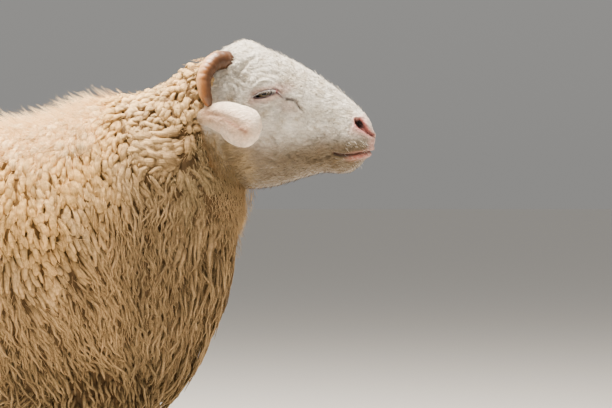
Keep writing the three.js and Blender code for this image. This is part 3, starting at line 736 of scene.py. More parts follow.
# %% Mesh of the head
def head_mesh():
    index = np.arange(HEAD_COUNT * HEAD_SIDES).reshape(HEAD_COUNT, HEAD_SIDES)
    points = [grid.reshape(-1, 3)]
    quads = loft_faces(HEAD_COUNT, HEAD_SIDES, 0).reshape(HEAD_COUNT - 1, HEAD_SIDES, 6)
    keep = np.ones((HEAD_COUNT - 1, HEAD_SIDES), bool)
    keep[EYE_I[0] : EYE_I[1], EYE_J[0] : EYE_J[1]] = False
    keep[EYE_I[0] : EYE_I[1], HEAD_SIDES - EYE_J[1] : HEAD_SIDES - EYE_J[0]] = False
    faces = [quads[keep].reshape(-1, 3)]
    count = HEAD_COUNT * HEAD_SIDES
    for hand, _ in SIDES:
        edge, loops = eye_loops(hand)
        n = len(edge)
        middle = np.array([[EYE_FORWARD, EYE_RISE, hand * EYE_SIDE]])
        points += [loops.reshape(-1, 3), middle]
        new_ids = count + np.arange(loops[..., 0].size).reshape(-1, n)
        ids = np.concatenate([index[edge[:, 0], edge[:, 1]][None], new_ids])
        a, b = ids[:-1], np.roll(ids[:-1], -1, 1)
        c, d = np.roll(ids[1:], -1, 1), ids[1:]
        turned = np.stack([a, b, c, a, c, d], -1).reshape(-1, 3)
        pole = count + loops[..., 0].size
        fan = np.stack([ids[-1], np.roll(ids[-1], -1), np.full(n, pole)], -1)
        faces += [turned[:, ::-1] if hand < 0 else turned, fan[:, ::-1] if hand < 0 else fan]
        count = pole + 1
    ends = np.array([[-20, -4, 0], NOSE])
    points.append(ends)
    ring = np.arange(HEAD_SIDES)
    start = np.stack([np.full(HEAD_SIDES, count), (ring + 1) % HEAD_SIDES, ring], -1)
    last = index[-1]
    end = np.stack([np.full(HEAD_SIDES, count + 1), last, np.roll(last, -1)], -1)
    faces += [start, end]
    return np.concatenate(points), np.concatenate(faces)


head_places, head_faces = head_mesh()
print(len(head_faces), "faces in the head")

# %% [markdown]
# ## Folds of the face
# Skin folds are shallow grooves with a soft ridge beside them. Each is a line in the side view
# with a depth and a width. The mouth and the nostrils are made the same way, only deeper.
# Because all of them are functions of place, the same numbers later colour the skin.


# %% Distance to a line in the side view
def line_distance(f, r, line):
    """Distance to a line of points and how far along it the nearest place is."""
    spot = np.stack([f, r], -1)
    line = np.array(line, float)
    best, where = np.full(f.shape, 1e9), np.zeros(f.shape)
    for k in range(len(line) - 1):
        a, way = line[k], line[k + 1] - line[k]
        t = np.clip(((spot - a) @ way) / (way @ way), 0, 1)
        far = np.linalg.norm(spot - a - t[..., None] * way, axis=-1)
        where = np.where(far < best, (k + t) / (len(line) - 1), where)
        best = np.minimum(far, best)
    return best, where


level_line = [(0, 0), (9, 0)]
print("5 above a level line:", line_distance(np.array(3.0), np.array(5.0), level_line)[0])


# %% Lines of the face
TEAR_LINE = [(97, 37.5), (101, 34.5), (105, 32), (109, 30), (124.5, 31), (130, 25), (137, 19)]
FOLDS = [  # line, depth, width
    (TEAR_LINE, 2.6, 1.6),
    ([(63, 27), (67, 36), (73, 43), (82, 48.5), (92, 50), (101, 47.5), (107, 41)], 0.9, 1.7),
    ([(60, 33), (64, 46), (74, 56), (88, 60), (100, 57)], 0.9, 2.2),
    ([(68, 19), (76, 15.5), (86, 15.5), (96, 20), (103, 26)], 0.9, 1.8),
    ([(63, 12), (74, 7), (88, 7), (101, 12), (112, 18)], 0.7, 2.4),
    ([(64, 78), (57, 71), (52, 65), (47, 55), (43, 46)], 1.5, 2.0),
    ([(56, 76), (50, 68), (43, 60)], 0.8, 1.7),
    ([(36, 55), (42, 47), (50, 42), (57, 40)], 1.0, 1.8),
    ([(30, 46), (37, 39), (47, 34), (57, 31)], 1.1, 1.8),
    ([(27, 36), (38, 28), (50, 24), (60, 23)], 0.9, 1.8),
    ([(100, -19), (110, -25), (117, -32)], 1.3, 2.2),
    ([(97, -49), (108, -54), (119, -55)], 1.3, 2.6),
    ([(150, -44), (165, -41), (180, -36), (188, -30)], 0.8, 3.0),
    ([(196, 30), (204, 26), (208, 18), (206, 9)], 0.8, 2.0),
]
MOUTH_LINE = [(186, -28), (200, -28.4), (211, -26.4), (222, -22.2), (233.5, -17.8), (246, -14)]
NOSTRIL_LINE = [(209.5, 21.5), (213, 19.5), (216.5, 16.5), (221, 13), (227, 9.2), (236, 5.4)]


def nostril_share(f, r):
    """0 on the nostril's middle line, 1 at its edge."""
    far, where = line_distance(f, r, NOSTRIL_LINE)
    half = np.interp(where, [0, 0.12, 0.3, 0.55, 0.8, 1], [2.2, 5.0, 6.4, 5.4, 3.2, 2.0])
    return far / half


def nostril_inner(f, r):
    """1 at the round inner end of the nostril, 0 in the slit that runs forward from it."""
    return 1 - smooth(0.4, 0.8, line_distance(f, r, NOSTRIL_LINE)[1])


def face_relief(f, r, s):
    total = np.zeros(f.shape)
    for line, depth, width in FOLDS:
        far, where = line_distance(f, r, line)
        ends = band(0, 0.2, 0.85, 1, where)
        groove = bell(far, width) - 0.4 * bell(far - 2.2 * width, width)
        total -= 1.35 * depth * (0.25 + 0.75 * ends) * groove
    near_nose = smooth(195, 208, f)
    hole = nostril_share(f, r)
    sunk = 4 + 5 * nostril_inner(f, r)
    total -= sunk * near_nose * (1 - smooth(0.45, 1.05, hole)) * smooth(3, 7, np.abs(s))
    total += 1.7 * near_nose * bell(hole - 1.55, 0.5) * smooth(4, 9, np.abs(s))
    far, where = line_distance(f, r, MOUTH_LINE)
    open_share = smooth(0, 0.08, where)
    total -= 4.5 * open_share * bell(far, 1.25)
    above = r > np.interp(f, *np.array(MOUTH_LINE).T)
    total += np.where(above, 1.6, 2.0) * open_share * bell(far - 4.2, 2.8)
    philtrum = bell(s, 1.8) * smooth(222, 234, f) * band(-16, -8, 6, 16, r)
    return total - 1.6 * philtrum


print(len(FOLDS), "folds, a mouth and two nostrils")


# %% Unevenness of the face, more of it at the temple
def face_unevenness(points, f, r):
    temple = spot_at(f, r, (36, 42), (26, 32))
    calm = 0.5 + 1.25 * temple
    rim = np.linalg.norm(np.stack([f, r], -1) - LID_MIDDLE, axis=-1)
    calm *= smooth(12, 24, rim)
    fine = waves(points, 5.5, 32) * (0.55 + 0.4 * temple)
    return calm * (waves(points, 15, 31) * 0.8 + fine)


base = mesh_object("skin_head", from_head(head_places), head_faces)
normals = read(base.data.vertices, "normal")
f, r, s = head_places.T
lift = face_relief(f, r, s) + face_unevenness(from_head(head_places), f, r)
points = from_head(head_places) + normals * lift[:, None]
move_points(base.data, points)
make_active(base)
bpy.ops.object.mode_set(mode="EDIT")
bpy.ops.mesh.select_all(action="SELECT")
bpy.ops.mesh.normals_make_consistent(inside=False)
bpy.ops.mesh.delete_loose()
bpy.ops.object.mode_set(mode="OBJECT")
skin_parts.append(base)
print("folds go", round(-lift.min(), 1), "mm in and", round(lift.max(), 1), "mm out")

# %% [markdown]
# ## Ears
# A ram's ear is a leaf of skin rolled into a tube at its root. Each row gives the share of its
# length, the middle line's x, y and z, the half width measured on the skin, and the half angle
# through which the leaf curls.

# %% Ear
EAR_ROWS = [
    [0, 261, 42, 661, 20, 125],
    [0.14, 258, 57, 661, 20, 118],
    [0.28, 261, 71, 661, 20, 105],
    [0.42, 276, 82, 661.5, 24, 78],
    [0.58, 296, 90, 658, 26, 55],
    [0.74, 313, 96, 649.5, 29, 43],
    [0.88, 326.5, 100, 644, 28, 36],
    [0.94, 332.5, 101.4, 641.5, 25, 31],
    [0.98, 338.5, 102.4, 639.5, 18.5, 26],
    [1, 342.5, 103, 638, 9, 20],
]
EAR_THICKNESS = 3.2
ear_at = along(EAR_ROWS)
EAR_ACROSS = 34  # points across the leaf


def ear_frame(share):
    x, y, z, half, curl = np.moveaxis(ear_at(share), -1, 0)
    sweep = np.radians(curl)
    middle = np.stack([x + SHIFT, y, z], -1)
    ahead, behind = ear_at(np.minimum(1, share + 0.03)), ear_at(share - 0.03)
    way = unit((ahead - behind)[..., :3])
    up = across(np.broadcast_to([0.2, 0, 1.0], way.shape), way)
    return middle, way, up, np.cross(up, way), half / sweep, sweep


def ear_point(share, v, depth):
    middle, _, up, out, radius, sweep = ear_frame(share)
    turn = v * sweep
    reach = radius - depth
    crease = 3.0 * bell(v - 0.05, 0.15) * band(0.3, 0.5, 0.75, 0.95, share)
    wrinkles = 0.5 * np.sin(share * 95 + 2 * v) * (1 - smooth(0.3, 0.5, share))
    reach = reach - crease + wrinkles
    along_up = (np.sin(turn) * reach)[..., None] * up
    return middle + along_up + (np.cos(turn) * reach - radius / 2)[..., None] * out


def ear_mesh(hand):
    shares = np.sin(np.linspace(0, 1, 54) * math.pi / 2) ** 1.1
    v = np.linspace(-1, 1, EAR_ACROSS)
    share, across_v = np.meshgrid(shares, v, indexing="ij")
    thickness = EAR_THICKNESS * (1 - 0.6 * across_v**4) * (1 - 0.35 * share)
    outer = ear_point(share, across_v, 0 * share)
    inner = ear_point(share, across_v, thickness)[:, ::-1]
    rings = np.concatenate([outer, inner], 1)
    rings[..., 1] *= hand
    points, faces = loft(rings)
    return points, faces[:, ::-1] if hand < 0 else faces


for hand, _ in SIDES:
    skin_parts.append(mesh_object("skin_ear", *ear_mesh(hand)))
print("ear tip at", ear_point(np.array(1.0), np.array(0.0), 0).round(0))

# %% [markdown]
# ## One skin
# The parts overlap at their roots. A Boolean union welds them into one closed skin, so no seam
# shows where an ear meets the head or a leg the trunk.

# %% Weld the skin
welding = bpy.data.collections.new("welding")
bpy.context.scene.collection.children.link(welding)
skin = skin_parts[0]
for part in skin_parts[1:]:
    bpy.context.scene.collection.objects.unlink(part)
    welding.objects.link(part)
make_active(skin)
union = skin.modifiers.new("weld", "BOOLEAN")
union.operation, union.operand_type = "UNION", "COLLECTION"
union.collection, union.solver = welding, "MANIFOLD"
bpy.ops.object.modifier_apply(modifier="weld")
for part in list(welding.objects):
    bpy.data.objects.remove(part)
bpy.data.collections.remove(welding)
skin.name = "skin"
skin.data.shade_smooth()
print("skin:", len(skin.data.polygons), "faces")

# %% [markdown]
# ## Markings of the skin
# The skin carries one colour per point, stored as an attribute that the material reads. It is
# white on the face, ochre under the jaw, pink at the nose, lips and lids, and brown under the
# wool, where the yellow grease of the fleece gathers. Painted shade darkens it further under the
# jaw, on the lower muzzle, below the ear, inside the nostrils, in the mouth's slit and in the
# crease of each ear. The short hair over it takes its colours from the same function, so skin
# and coat always agree.

# %% Palette of the skin
FACE_WHITE = linear("#E6DFD3")
FACE_SHADE = linear("#B4A68F")
# the jaw's ochre hair, darkened with painted shade under the jaw
JAW_OCHRE_AND_SHADE = linear("#5E4C30")
# dust, and painted shade on the lower muzzle and below the ear
MUZZLE_DUST_AND_SHADE = linear("#8A7A6A")
CHEEK_TAN = linear("#98815C")
SKIN_PINK = linear("#D9A79A")
NOSE_RED = linear("#B3605A")
LIP_PINK = linear("#C07A6B")
RIM_PLUM = linear("#43303A")
# painted shade inside the nostrils
NOSTRIL_SHADE = linear("#1C0E0E")
# the lips' brown edge, with painted shade in the mouth's slit
LIP_BROWN_AND_SHADE = linear("#6B463C")
EAR_WHITE = linear("#FFEAD2")
EAR_PINK = linear("#D2935A")
# tan of the ear's crease, with painted shade in the fold
EAR_CREASE_TAN_AND_SHADE = linear("#7E5238")
LEG_WHITE = linear("#D9CDB8")
LEG_DUST = linear("#B49B75")
WOOL_ROOT = linear("#8A6636")
print("under the wool the skin is", WOOL_ROOT.round(3))


# %% Masks of the skin
def lay(colours, over, mask):
    return colours + (over - colours) * np.clip(mask, 0, 1)[..., None]


def all_over(colour, points):
    return np.broadcast_to(colour, points.shape)


def cheek_share(points):
    """1 on the fuzzy cheek and throat between the ear and the neck's wool."""
    f, r, _ = to_head(points)
    far = np.hypot((f - 38) / 54, (r + 72) / 46)
    return 1 - smooth(0.75, 1.15, far + 0.08 * waves(points, 24, 43))


def rim_share(f, r):
    """1 on the rim of the lids, more outside it."""
    c, s = math.cos(LID_TILT), math.sin(LID_TILT)
    x, y = f - LID_MIDDLE[0], r - LID_MIDDLE[1]
    x, y = x * c + y * s, y * c - x * s
    half = np.where(y > 0, LID_UPPER, LID_LOWER) + 0.4
    return np.sqrt((x / LID_HALF_LENGTH) ** 2 + (y / half) ** 2)


print("at the eye's front corner the rim share is", rim_share(*almond(np.array(0.0))).round(2))


# %% Colours of the head
def head_tint(points):
    f, r, s = to_head(points)
    noise = waves(points, 22, 41)
    fine = waves(points, 7, 42)
    tint = lay(all_over(FACE_WHITE, points), FACE_SHADE, 0.28 + 0.26 * noise + 0.26 * fine)
    jaw_line = -44 + (f - 100) * 0.27
    # dust and painted shade on the lower muzzle, which faces down, away from the light
    darkening = smooth(110, 190, f) * (1 - smooth(-30, 24, r))
    tint = lay(tint, MUZZLE_DUST_AND_SHADE, 0.9 * darkening * (0.85 + 0.3 * noise))
    # painted shade under the jaw, over its ochre hair
    tint = lay(tint, JAW_OCHRE_AND_SHADE, (1 - smooth(-10, 27, r - jaw_line + 4 * noise)) * 0.92)
    tint = lay(tint, CHEEK_TAN, 0.95 * cheek_share(points) * (0.85 + 0.15 * noise))
    tint = lay(tint, SKIN_PINK, 0.28 * spot_at(f, r, (117, 20), (13, 9)))
    # painted shadow of the ear on the face below it
    tint = lay(tint, MUZZLE_DUST_AND_SHADE, 0.5 * spot_at(f, r, (92, -34), (30, 24)) * (1 + 0.4 * fine))
    tint = lay(tint, FACE_SHADE, 0.6 * spot_at(f, r, (114, 58), (12, 9)))
    eye = rim_share(f, r)
    tint = lay(tint, SKIN_PINK, 0.5 * bell(eye - 1.5, 1.1) * smooth(60, 70, f))
    far, where = line_distance(f, r, TEAR_LINE)
    tint = lay(tint, RIM_PLUM, bell(far, 2.9 - 1.4 * where) * (1 - 0.5 * where))
    tint = lay(tint, RIM_PLUM, 0.95 * (1 - smooth(1.05, 1.42, eye)))
    tint = lay(tint, NOSE_RED, 0.6 * spot_at(f, r, (98, 37.5), (3, 2)))
    hole = nostril_share(f, r)
    near = smooth(196, 206, f)
    tint = lay(tint, SKIN_PINK, near * 0.9 * bell(hole - 0.8, 1.7))
    tint = lay(tint, SKIN_PINK, 0.75 * smooth(228, 238, f) * smooth(-18, -10, r))
    apart = smooth(3, 7, np.abs(s))
    tint = lay(tint, NOSE_RED, near * 0.85 * (1 - smooth(0.9, 1.7, hole)) * apart)
    # painted shade inside the nostril, darkest at its deep inner end
    inner = 0.35 + 0.65 * nostril_inner(f, r)
    tint = lay(tint, NOSTRIL_SHADE, near * inner * (1 - smooth(0.5, 0.95, hole)) * apart)
    far, where = line_distance(f, r, MOUTH_LINE)
    below = r < np.interp(f, *np.array(MOUTH_LINE).T)
    lip = np.where(below, bell(far - 3.5, 4.0), 0.6 * bell(far, 3.0))
    tint = lay(tint, LIP_PINK, 0.95 * smooth(0.2, 0.55, where) * lip)
    # painted shade in the mouth's slit, over the lips' brown edge
    return lay(tint, LIP_BROWN_AND_SHADE, 0.9 * smooth(0.0, 0.08, where) * bell(far, 1.3))


print("colour of the brow:", head_tint(from_head(np.array([[84.0, 80, 0]]))).round(2))


# %% Colours of the whole skin
def on_ear(points):
    """1 on the ears, which lie further out than the head beside them."""
    f, r, s = to_head(points)
    x, z = side_view(points)
    clear = np.interp(x, [250, 262, 275, 290, 340], [62, 64, 66, 66, 66])
    return smooth(250, 258, x) * (f < 96) * (r < 14) * (z > 604) * smooth(-1.5, 1.5, np.abs(s) - clear)


def ear_tint(points):
    x, z = side_view(points)
    tint = lay(all_over(EAR_WHITE, points), EAR_PINK, 0.07 + 0.1 * waves(points, 16, 51))
    tint = lay(tint, CHEEK_TAN, 0.8 * (1 - smooth(256, 288, x)))
    far, _ = line_distance(x, z, [(270, 665), (292, 657), (312, 646), (322, 640)])
    tint = lay(tint, EAR_PINK, 0.5 * bell(far, 13.0))
    # tan and painted shade along the ear's crease, darkest in the fold at its front half
    tint = lay(tint, EAR_CREASE_TAN_AND_SHADE, 0.4 * bell(far, 6.0))
    tint = lay(tint, EAR_CREASE_TAN_AND_SHADE, 0.9 * bell(far, 2.6) * smooth(280, 300, x))
    far, _ = line_distance(x, z, [(276, 655), (292, 647), (306, 637)])
    return lay(tint, EAR_CREASE_TAN_AND_SHADE, 0.3 * bell(far, 3.5))


def skin_tint(points):
    z = points[..., 2]
    darkening = 0.25 + 0.3 * waves(points, 30, 61) + 0.5 * (1 - smooth(40, 110, z))
    legs = lay(all_over(LEG_WHITE, points), LEG_DUST, darkening)
    wool_edge = np.where(points[..., 0] > 0, 212, 258)
    body = lay(legs, WOOL_ROOT, smooth(0, 22, z - wool_edge))
    facing = face_share(points)
    tint = mix(body, head_tint(points), facing[..., None])
    return mix(tint, ear_tint(points), on_ear(points)[..., None])


OPENING_LEVEL = 661  # of the opening of the fleece about the face
OPENING_MIDDLE, OPENING_REACH, OPENING_HEIGHT = (322, 334), (58, 68), (125, 92)  # above, below


def face_room(points):
    """Distance share from the opening of the fleece about the face: below 1 is inside it."""
    x, z = side_view(points)
    above = z > OPENING_LEVEL
    across_share = (x - np.where(above, *OPENING_MIDDLE)) / np.where(above, *OPENING_REACH)
    up_share = (z - OPENING_LEVEL) / np.where(above, *OPENING_HEIGHT)
    return np.sqrt(across_share**2 + up_share**2)


def face_share(points):
    """1 where the head is bare, 0 under the wool."""
    x, z = side_view(points)
    return np.maximum(1 - smooth(1.0, 1.1, face_room(points)), smooth(330, 350, x) * (z > 500))


skin_points = read(skin.data.vertices, "co") / MM
store_colour(skin, skin_tint(skin_points))
print("tinted", len(skin_points), "points of skin")

# %% [markdown]
# ## Short-haired skin
# The face and shanks carry hair of a few millimetres that lies flat. Single hairs are too fine
# to see, so the material shows them as a soft grain, drawn out along the lie of the hair, with
# a little sheen for the light that hair tips catch. Bare skin, at the nose, lips and lids, has
# the same finish and shows by its stored colour.

# %% Skin material
# Short hair scatters the light: the skin looks soft and dull, and pale along its outline.
hair_skin, tree, shader = new_material("short_white_hair_on_pink_skin")
HAIR_GRAIN = 2.6 * MM  # between small tufts of short hair, drawn coarser so that it shows
HAIR_PATCH = 9 * MM  # between places where the hair lies thinner
CRINKLE = 5 * MM  # between the soft dents of the skin under it
place = put(tree, "TexCoord").outputs["Object"]
along_face = {"Vector": place, "Rotation": (0, -HEAD_PITCH, 0), "Scale": (0.4, 1, 1)}
turned = put(tree, "Mapping", along_face).outputs["Vector"]
tufts, tuft_shade = grain(tree, turned, HAIR_GRAIN, 3, 0.6, (0.74, 1.12))
_, patch_shade = grain(tree, place, HAIR_PATCH, 4, 0.65, (0.84, 1.05), (0.3, 0.75))
dents = {"Vector": place, "Scale": 1 / CRINKLE, "Detail": 2, "Roughness": 0.5}
crinkle = put(tree, "TexNoise", dents).outputs["Fac"]
height = put(tree, "Math", {0: tufts, 1: crinkle}, operation="ADD").outputs["Value"]
bump = put(tree, "Bump", {"Height": height, "Strength": 1.0, "Distance": 2.2 * MM})
hair_colour = tinted(tree, tuft_shade, patch_shade)
plug(tree, shader, {"Base Color": hair_colour, "Normal": bump.outputs["Normal"]})
plug(tree, shader, {"Roughness": 0.72, "Specular IOR Level": 0.3})
plug(tree, shader, {"Sheen Weight": 0.25, "Sheen Roughness": 0.5})
wear(skin, hair_skin)
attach(skin, "root")
flesh = ["head", "neck", "torso", "tail", "ear_left", "ear_right"]
for leg_name in LEGS:
    for part in ("upper", "lower"):
        flesh += [f"{leg_name}leg_{part}_{side_name}" for _, side_name in SIDES]
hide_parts(*flesh)
print("the skin takes the place of", len(flesh), "solids")

# %% [markdown]
# ## Eyes
# An eye is a ball, and a ball is a primitive. It is added at its place with its poles facing
# out to the sides, so that the finest faces lie where the pupil is. A sheep's pupil is a wide
# slot that stays level. The iris is drawn from each point's distance to the middle of the gaze.

# %% Eyeballs
GAZE_TILT = math.radians(8)  # how far the slot of the pupil stands up in front


def eyeball(hand, side_name):
    centre = SKULL + FORWARD * EYE_FORWARD + UPWARD * EYE_RISE + [0, hand * EYE_SIDE, 0]
    bpy.ops.object.select_all(action="DESELECT")
    bpy.ops.mesh.primitive_uv_sphere_add(
        segments=48,
        ring_count=32,
        radius=(EYE_RADIUS - 0.1) * MM,
        location=centre * MM,
        rotation=(math.pi / 2, 0, 0),
    )
    ball = bpy.context.object
    ball.name = "eyeball_" + side_name
    bpy.ops.object.transform_apply(location=True, rotation=True, scale=True)
    bpy.ops.object.shade_smooth()
    away = read(ball.data.vertices, "co") / MM - centre
    c, s = math.cos(GAZE_TILT), math.sin(GAZE_TILT)
    ahead, aside, up = away[:, 0], away[:, 1] * hand, away[:, 2]
    gaze = np.stack([ahead * c + up * s, up * c - ahead * s, aside], -1)
    store(ball, "gaze", "FLOAT_VECTOR", "vector", gaze)
    return ball


eyes = [eyeball(*side) for side in SIDES]
print("eyes at", [tuple(round(v, 3) for v in ball.bound_box[0]) for ball in eyes])

# %% Eye material
# A wet eye is smooth and clear on top, so a small sharp light lies over the dark brown.
wet_eye, tree, shader = new_material("wet_brown_eye")
PUPIL_HALF_LENGTH, PUPIL_HALF_HEIGHT = 4.2, 1.5  # millimetres
RAMP_REACH = 12.0  # millimetres from the middle of the gaze to the end of the iris colours
IRIS = ((0.30, "#6A5A3C"), (0.62, "#43341F"), (0.70, "#15100D"))
gaze = put(tree, "Attribute", attribute_name="gaze").outputs["Vector"]
parts = put(tree, "SeparateXYZ", {"Vector": gaze}).outputs
flat_gaze = put(tree, "CombineXYZ", {"X": parts["X"], "Y": parts["Y"]}).outputs["Vector"]
iris_far = put(tree, "VectorMath", {0: flat_gaze}, operation="LENGTH").outputs["Value"]
iris_share = put(tree, "Math", {0: iris_far, 1: RAMP_REACH}, operation="DIVIDE").outputs["Value"]
iris_ramp = put(tree, "ValToRGB", {"Fac": iris_share})
for stop, colour in IRIS:
    iris_ramp.color_ramp.elements.new(stop).color = paint(colour)
iris_ramp.color_ramp.elements[0].color = paint("#5A4C34")
iris_ramp.color_ramp.elements[-1].color = paint("#2A1C18")
slot_scale = (1 / PUPIL_HALF_LENGTH, 1 / PUPIL_HALF_HEIGHT, 0)
slot_place = put(tree, "VectorMath", {0: flat_gaze, 1: slot_scale}, operation="MULTIPLY").outputs[0]
slot_far = put(tree, "VectorMath", {0: slot_place}, operation="LENGTH").outputs["Value"]
limits = {"Value": slot_far, "From Min": 0.9, "From Max": 1.1, "To Min": 0, "To Max": 1}
pupil_edge = put(tree, "MapRange", limits).outputs["Result"]
blend = {"Factor": pupil_edge, 6: paint("#0B0908"), 7: iris_ramp.outputs["Color"]}
eye_colour = put(tree, "Mix", blend, data_type="RGBA").outputs[2]
plug(tree, shader, {"Base Color": eye_colour, "Roughness": 0.12, "IOR": 1.38})
plug(tree, shader, {"Coat Weight": 1.0, "Coat Roughness": 0.03})
for ball, (_, side_name) in zip(eyes, SIDES):
    wear(ball, wet_eye)
    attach(ball, "root")
    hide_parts("eye_" + side_name)
print("the pupil is", 2 * PUPIL_HALF_LENGTH, "mm long")

# %% [markdown]
# ## Horns
# A young ram's horn is a curved, tapering cone. A curve with a thickness gives that at once:
# each point has its own radius, and the curve is turned to a mesh when it is right. The growth
# rings are then raised on the mesh. The colour runs from a dark base over tan to a brown tip,
# with a painted highlight on the side that faces up and back, and painted shade on the side
# that faces away from it, in the hollow of the curve, and in the grooves between the rings.

# %% Horn line
HORN_ROWS = [
    [0, 297, 26, 733, 14],
    [1, 293, 42, 735, 13.6],
    [2, 281, 57, 734, 12.2],
    [3, 271, 68, 724, 10.6],
    [4, 265.5, 75, 709, 9.6],
    [5, 267, 79, 694, 8.8],
    [6, 271, 80, 682, 6.8],
    [6.6, 273, 80.5, 675, 3.8],
    [6.75, 273.4, 80.4, 672.4, 1.6],
]
HORN_START, HORN_END = 0.3, 6.75
horn_at = along(HORN_ROWS)


def horn_curve(hand, side_name):
    rows = horn_at(np.linspace(HORN_START, HORN_END, 110))
    line = bpy.data.curves.new("horn_" + side_name, "CURVE")
    line.dimensions, line.bevel_depth, line.bevel_resolution = "3D", MM, 8
    line.use_fill_caps = True
    spline = line.splines.new("POLY")
    spline.points.add(len(rows) - 1)
    for spot, (x, y, z, radius) in zip(spline.points, rows):
        spot.co = ((x + SHIFT) * MM, hand * y * MM, z * MM, 1)
        spot.radius = radius
    horn = bpy.data.objects.new("ringed_horn_" + side_name, line)
    add_to_scene(horn)
    make_active(horn)
    bpy.ops.object.convert(target="MESH")
    return bpy.context.object


print("horn tip at", horn_at(HORN_END)[:3].round(1), "mm")

# %% Growth rings
HORN_BASE, HORN_MIDDLE, HORN_TIP = linear("#4C2A13"), linear("#A4652C"), linear("#8C5219")
# a painted highlight, and painted shade in the grooves and on the side facing away from it
HORN_HIGHLIGHT, HORN_GROOVE_SHADE, HORN_SHADOW_SIDE = linear("#E0AC74"), linear("#4E2E1A"), linear("#44280F")
print("the horn's colour runs from", HORN_BASE.round(3), "to", HORN_TIP.round(3))


def ring_horn(horn, hand):
    points = read(horn.data.vertices, "co") / MM
    normals = read(horn.data.vertices, "normal")
    places = np.linspace(HORN_START, HORN_END, 400)
    middle = horn_at(places)[:, :3] * [1, hand, 1] + [SHIFT, 0, 0]
    nearest = np.array([np.argmin(((middle - p) ** 2).sum(-1)) for p in points])
    place = places[nearest]
    share = place / HORN_END
    ring = np.abs(np.sin(place * 7.4 + 0.8 * np.sin(place * 2.1))) ** 0.6
    height = 0.55 * (ring - 0.5) * (1 - smooth(0.6, 0.95, share)) + 0.4 * waves(points, 10, 71)
    points += normals * height[:, None]
    move_points(horn.data, points)
    tint = lay(all_over(HORN_BASE, points), HORN_MIDDLE, smooth(0.12, 0.5, share))
    tint = lay(tint, HORN_TIP, smooth(0.75, 0.98, share))
    # painted light: a highlight on the side that faces up and back, and painted shade on the side that
    # faces away, in the hollow of the curve
    outer = normals @ unit(np.array([-0.9, 0.1 * hand, 0.4]))
    highlight_share = smooth(0.3, 0.9, outer) * band(0.12, 0.4, 0.8, 1, share)
    tint = lay(tint, HORN_HIGHLIGHT, 0.9 * highlight_share)
    # painted shade in the grooves between the growth rings
    tint = lay(tint, HORN_GROOVE_SHADE, 0.55 * (1 - ring) * (1 - share))
    tint = lay(tint, HORN_SHADOW_SIDE, 0.9 * smooth(-0.6, 0.3, -outer) * smooth(0.1, 0.3, share))
    store_colour(horn, tint)
    around = points - middle[nearest]
    streak = np.column_stack([around[:, 1:], place * 1.2])
    store(horn, "streak", "FLOAT_VECTOR", "vector", streak)
    horn.data.shade_smooth()


# %% Horn material
# Worn horn is dry but hard, so its ridges keep a soft shine between the fine dark lines.
horn_sheath, tree, shader = new_material("worn_keratin_horn")
STREAK = 0.9  # millimetres between the fine lengthwise lines
streak = put(tree, "Attribute", attribute_name="streak").outputs["Vector"]
lines, line_shade = grain(tree, streak, STREAK, 3, 0.6, (0.72, 1.12))
bump = put(tree, "Bump", {"Height": lines, "Strength": 0.5, "Distance": 0.4 * MM})
plug(tree, shader, {"Base Color": tinted(tree, line_shade), "Normal": bump.outputs["Normal"]})
plug(tree, shader, {"Roughness": 0.42, "IOR": 1.55})
for hand, side_name in SIDES:
    horn = horn_curve(hand, side_name)
    ring_horn(horn, hand)
    wear(horn, horn_sheath)
    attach(horn, "root")
    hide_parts("horn_" + side_name)
    print(horn.name, len(horn.data.polygons), "faces")

# %% [markdown]
# ## Hooves
# Each foot stands on two claws. The solids already have their shape, with few faces, so a copy
# of each is merged, its sole and upper edge are creased, and Subdivision Surface rounds the
# walls between those edges.


# %% Claws
def claw(node_name):
    piece = frame["nodes"][node_name].copy()
    piece.data = piece.data.copy()
    piece.name = "horny_" + node_name
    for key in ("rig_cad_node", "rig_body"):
        if key in piece:
            del piece[key]
    piece.parent = None
    add_to_scene(piece)
    make_active(piece)
    bpy.ops.object.mode_set(mode="EDIT")
    bpy.ops.mesh.select_all(action="SELECT")
    bpy.ops.mesh.remove_doubles(threshold=0.01 * MM)
    bpy.ops.mesh.tris_convert_to_quads()
    bpy.ops.object.mode_set(mode="OBJECT")
    mesh = piece.data
    crease = mesh.attributes.new("crease_edge", "FLOAT", "EDGE")
    heights = [v.co.z for v in mesh.vertices]
    top = [v.co.z > 0.6 * CLAW_HEIGHT * MM for v in mesh.vertices]
    for edge in mesh.edges:
        a, b = edge.vertices
        sole = heights[a] < 1e-5 and heights[b] < 1e-5
        crease.data[edge.index].value = 0.9 if sole or (top[a] and top[b]) else 0.0
    smoother = piece.modifiers.new("round", "SUBSURF")
    smoother.levels = smoother.render_levels = 3
    bpy.ops.object.modifier_apply(modifier="round")
    piece.data.shade_smooth()
    return piece


claw_names = [n for n in frame["nodes"] if "_claw_" in n]
print(len(claw_names), "claws")

# %% Hoof material
# Dust lies in the rings of a hoof, so it is dull and mottled, grey brown over dark horn.
hoof_horn, tree, shader = new_material("dusty_hoof_horn")
place = put(tree, "TexCoord").outputs["Object"]
WALL_LINE = 1.4 * MM  # between the fine rings of a hoof wall
DUST_PATCH = 12 * MM  # between patches of dust
stretched = put(tree, "Mapping", {"Vector": place, "Scale": (0.25, 0.25, 1)}).outputs["Vector"]
lines = put(tree, "TexNoise", {"Vector": stretched, "Scale": 1 / WALL_LINE, "Detail": 4}).outputs["Fac"]
dust = put(tree, "TexNoise", {"Vector": place, "Scale": 1 / DUST_PATCH, "Detail": 5})
ramp = put(tree, "ValToRGB", {"Fac": dust.outputs["Fac"]})
dark_horn, dry_dust = ramp.color_ramp.elements
dark_horn.position, dark_horn.color = 0.35, paint("#3A2E25")
dry_dust.position, dry_dust.color = 0.75, paint("#8A7A62")
bump = put(tree, "Bump", {"Height": lines, "Strength": 0.6, "Distance": 0.5 * MM})
plug(tree, shader, {"Base Color": ramp.outputs["Color"], "Normal": bump.outputs["Normal"]})
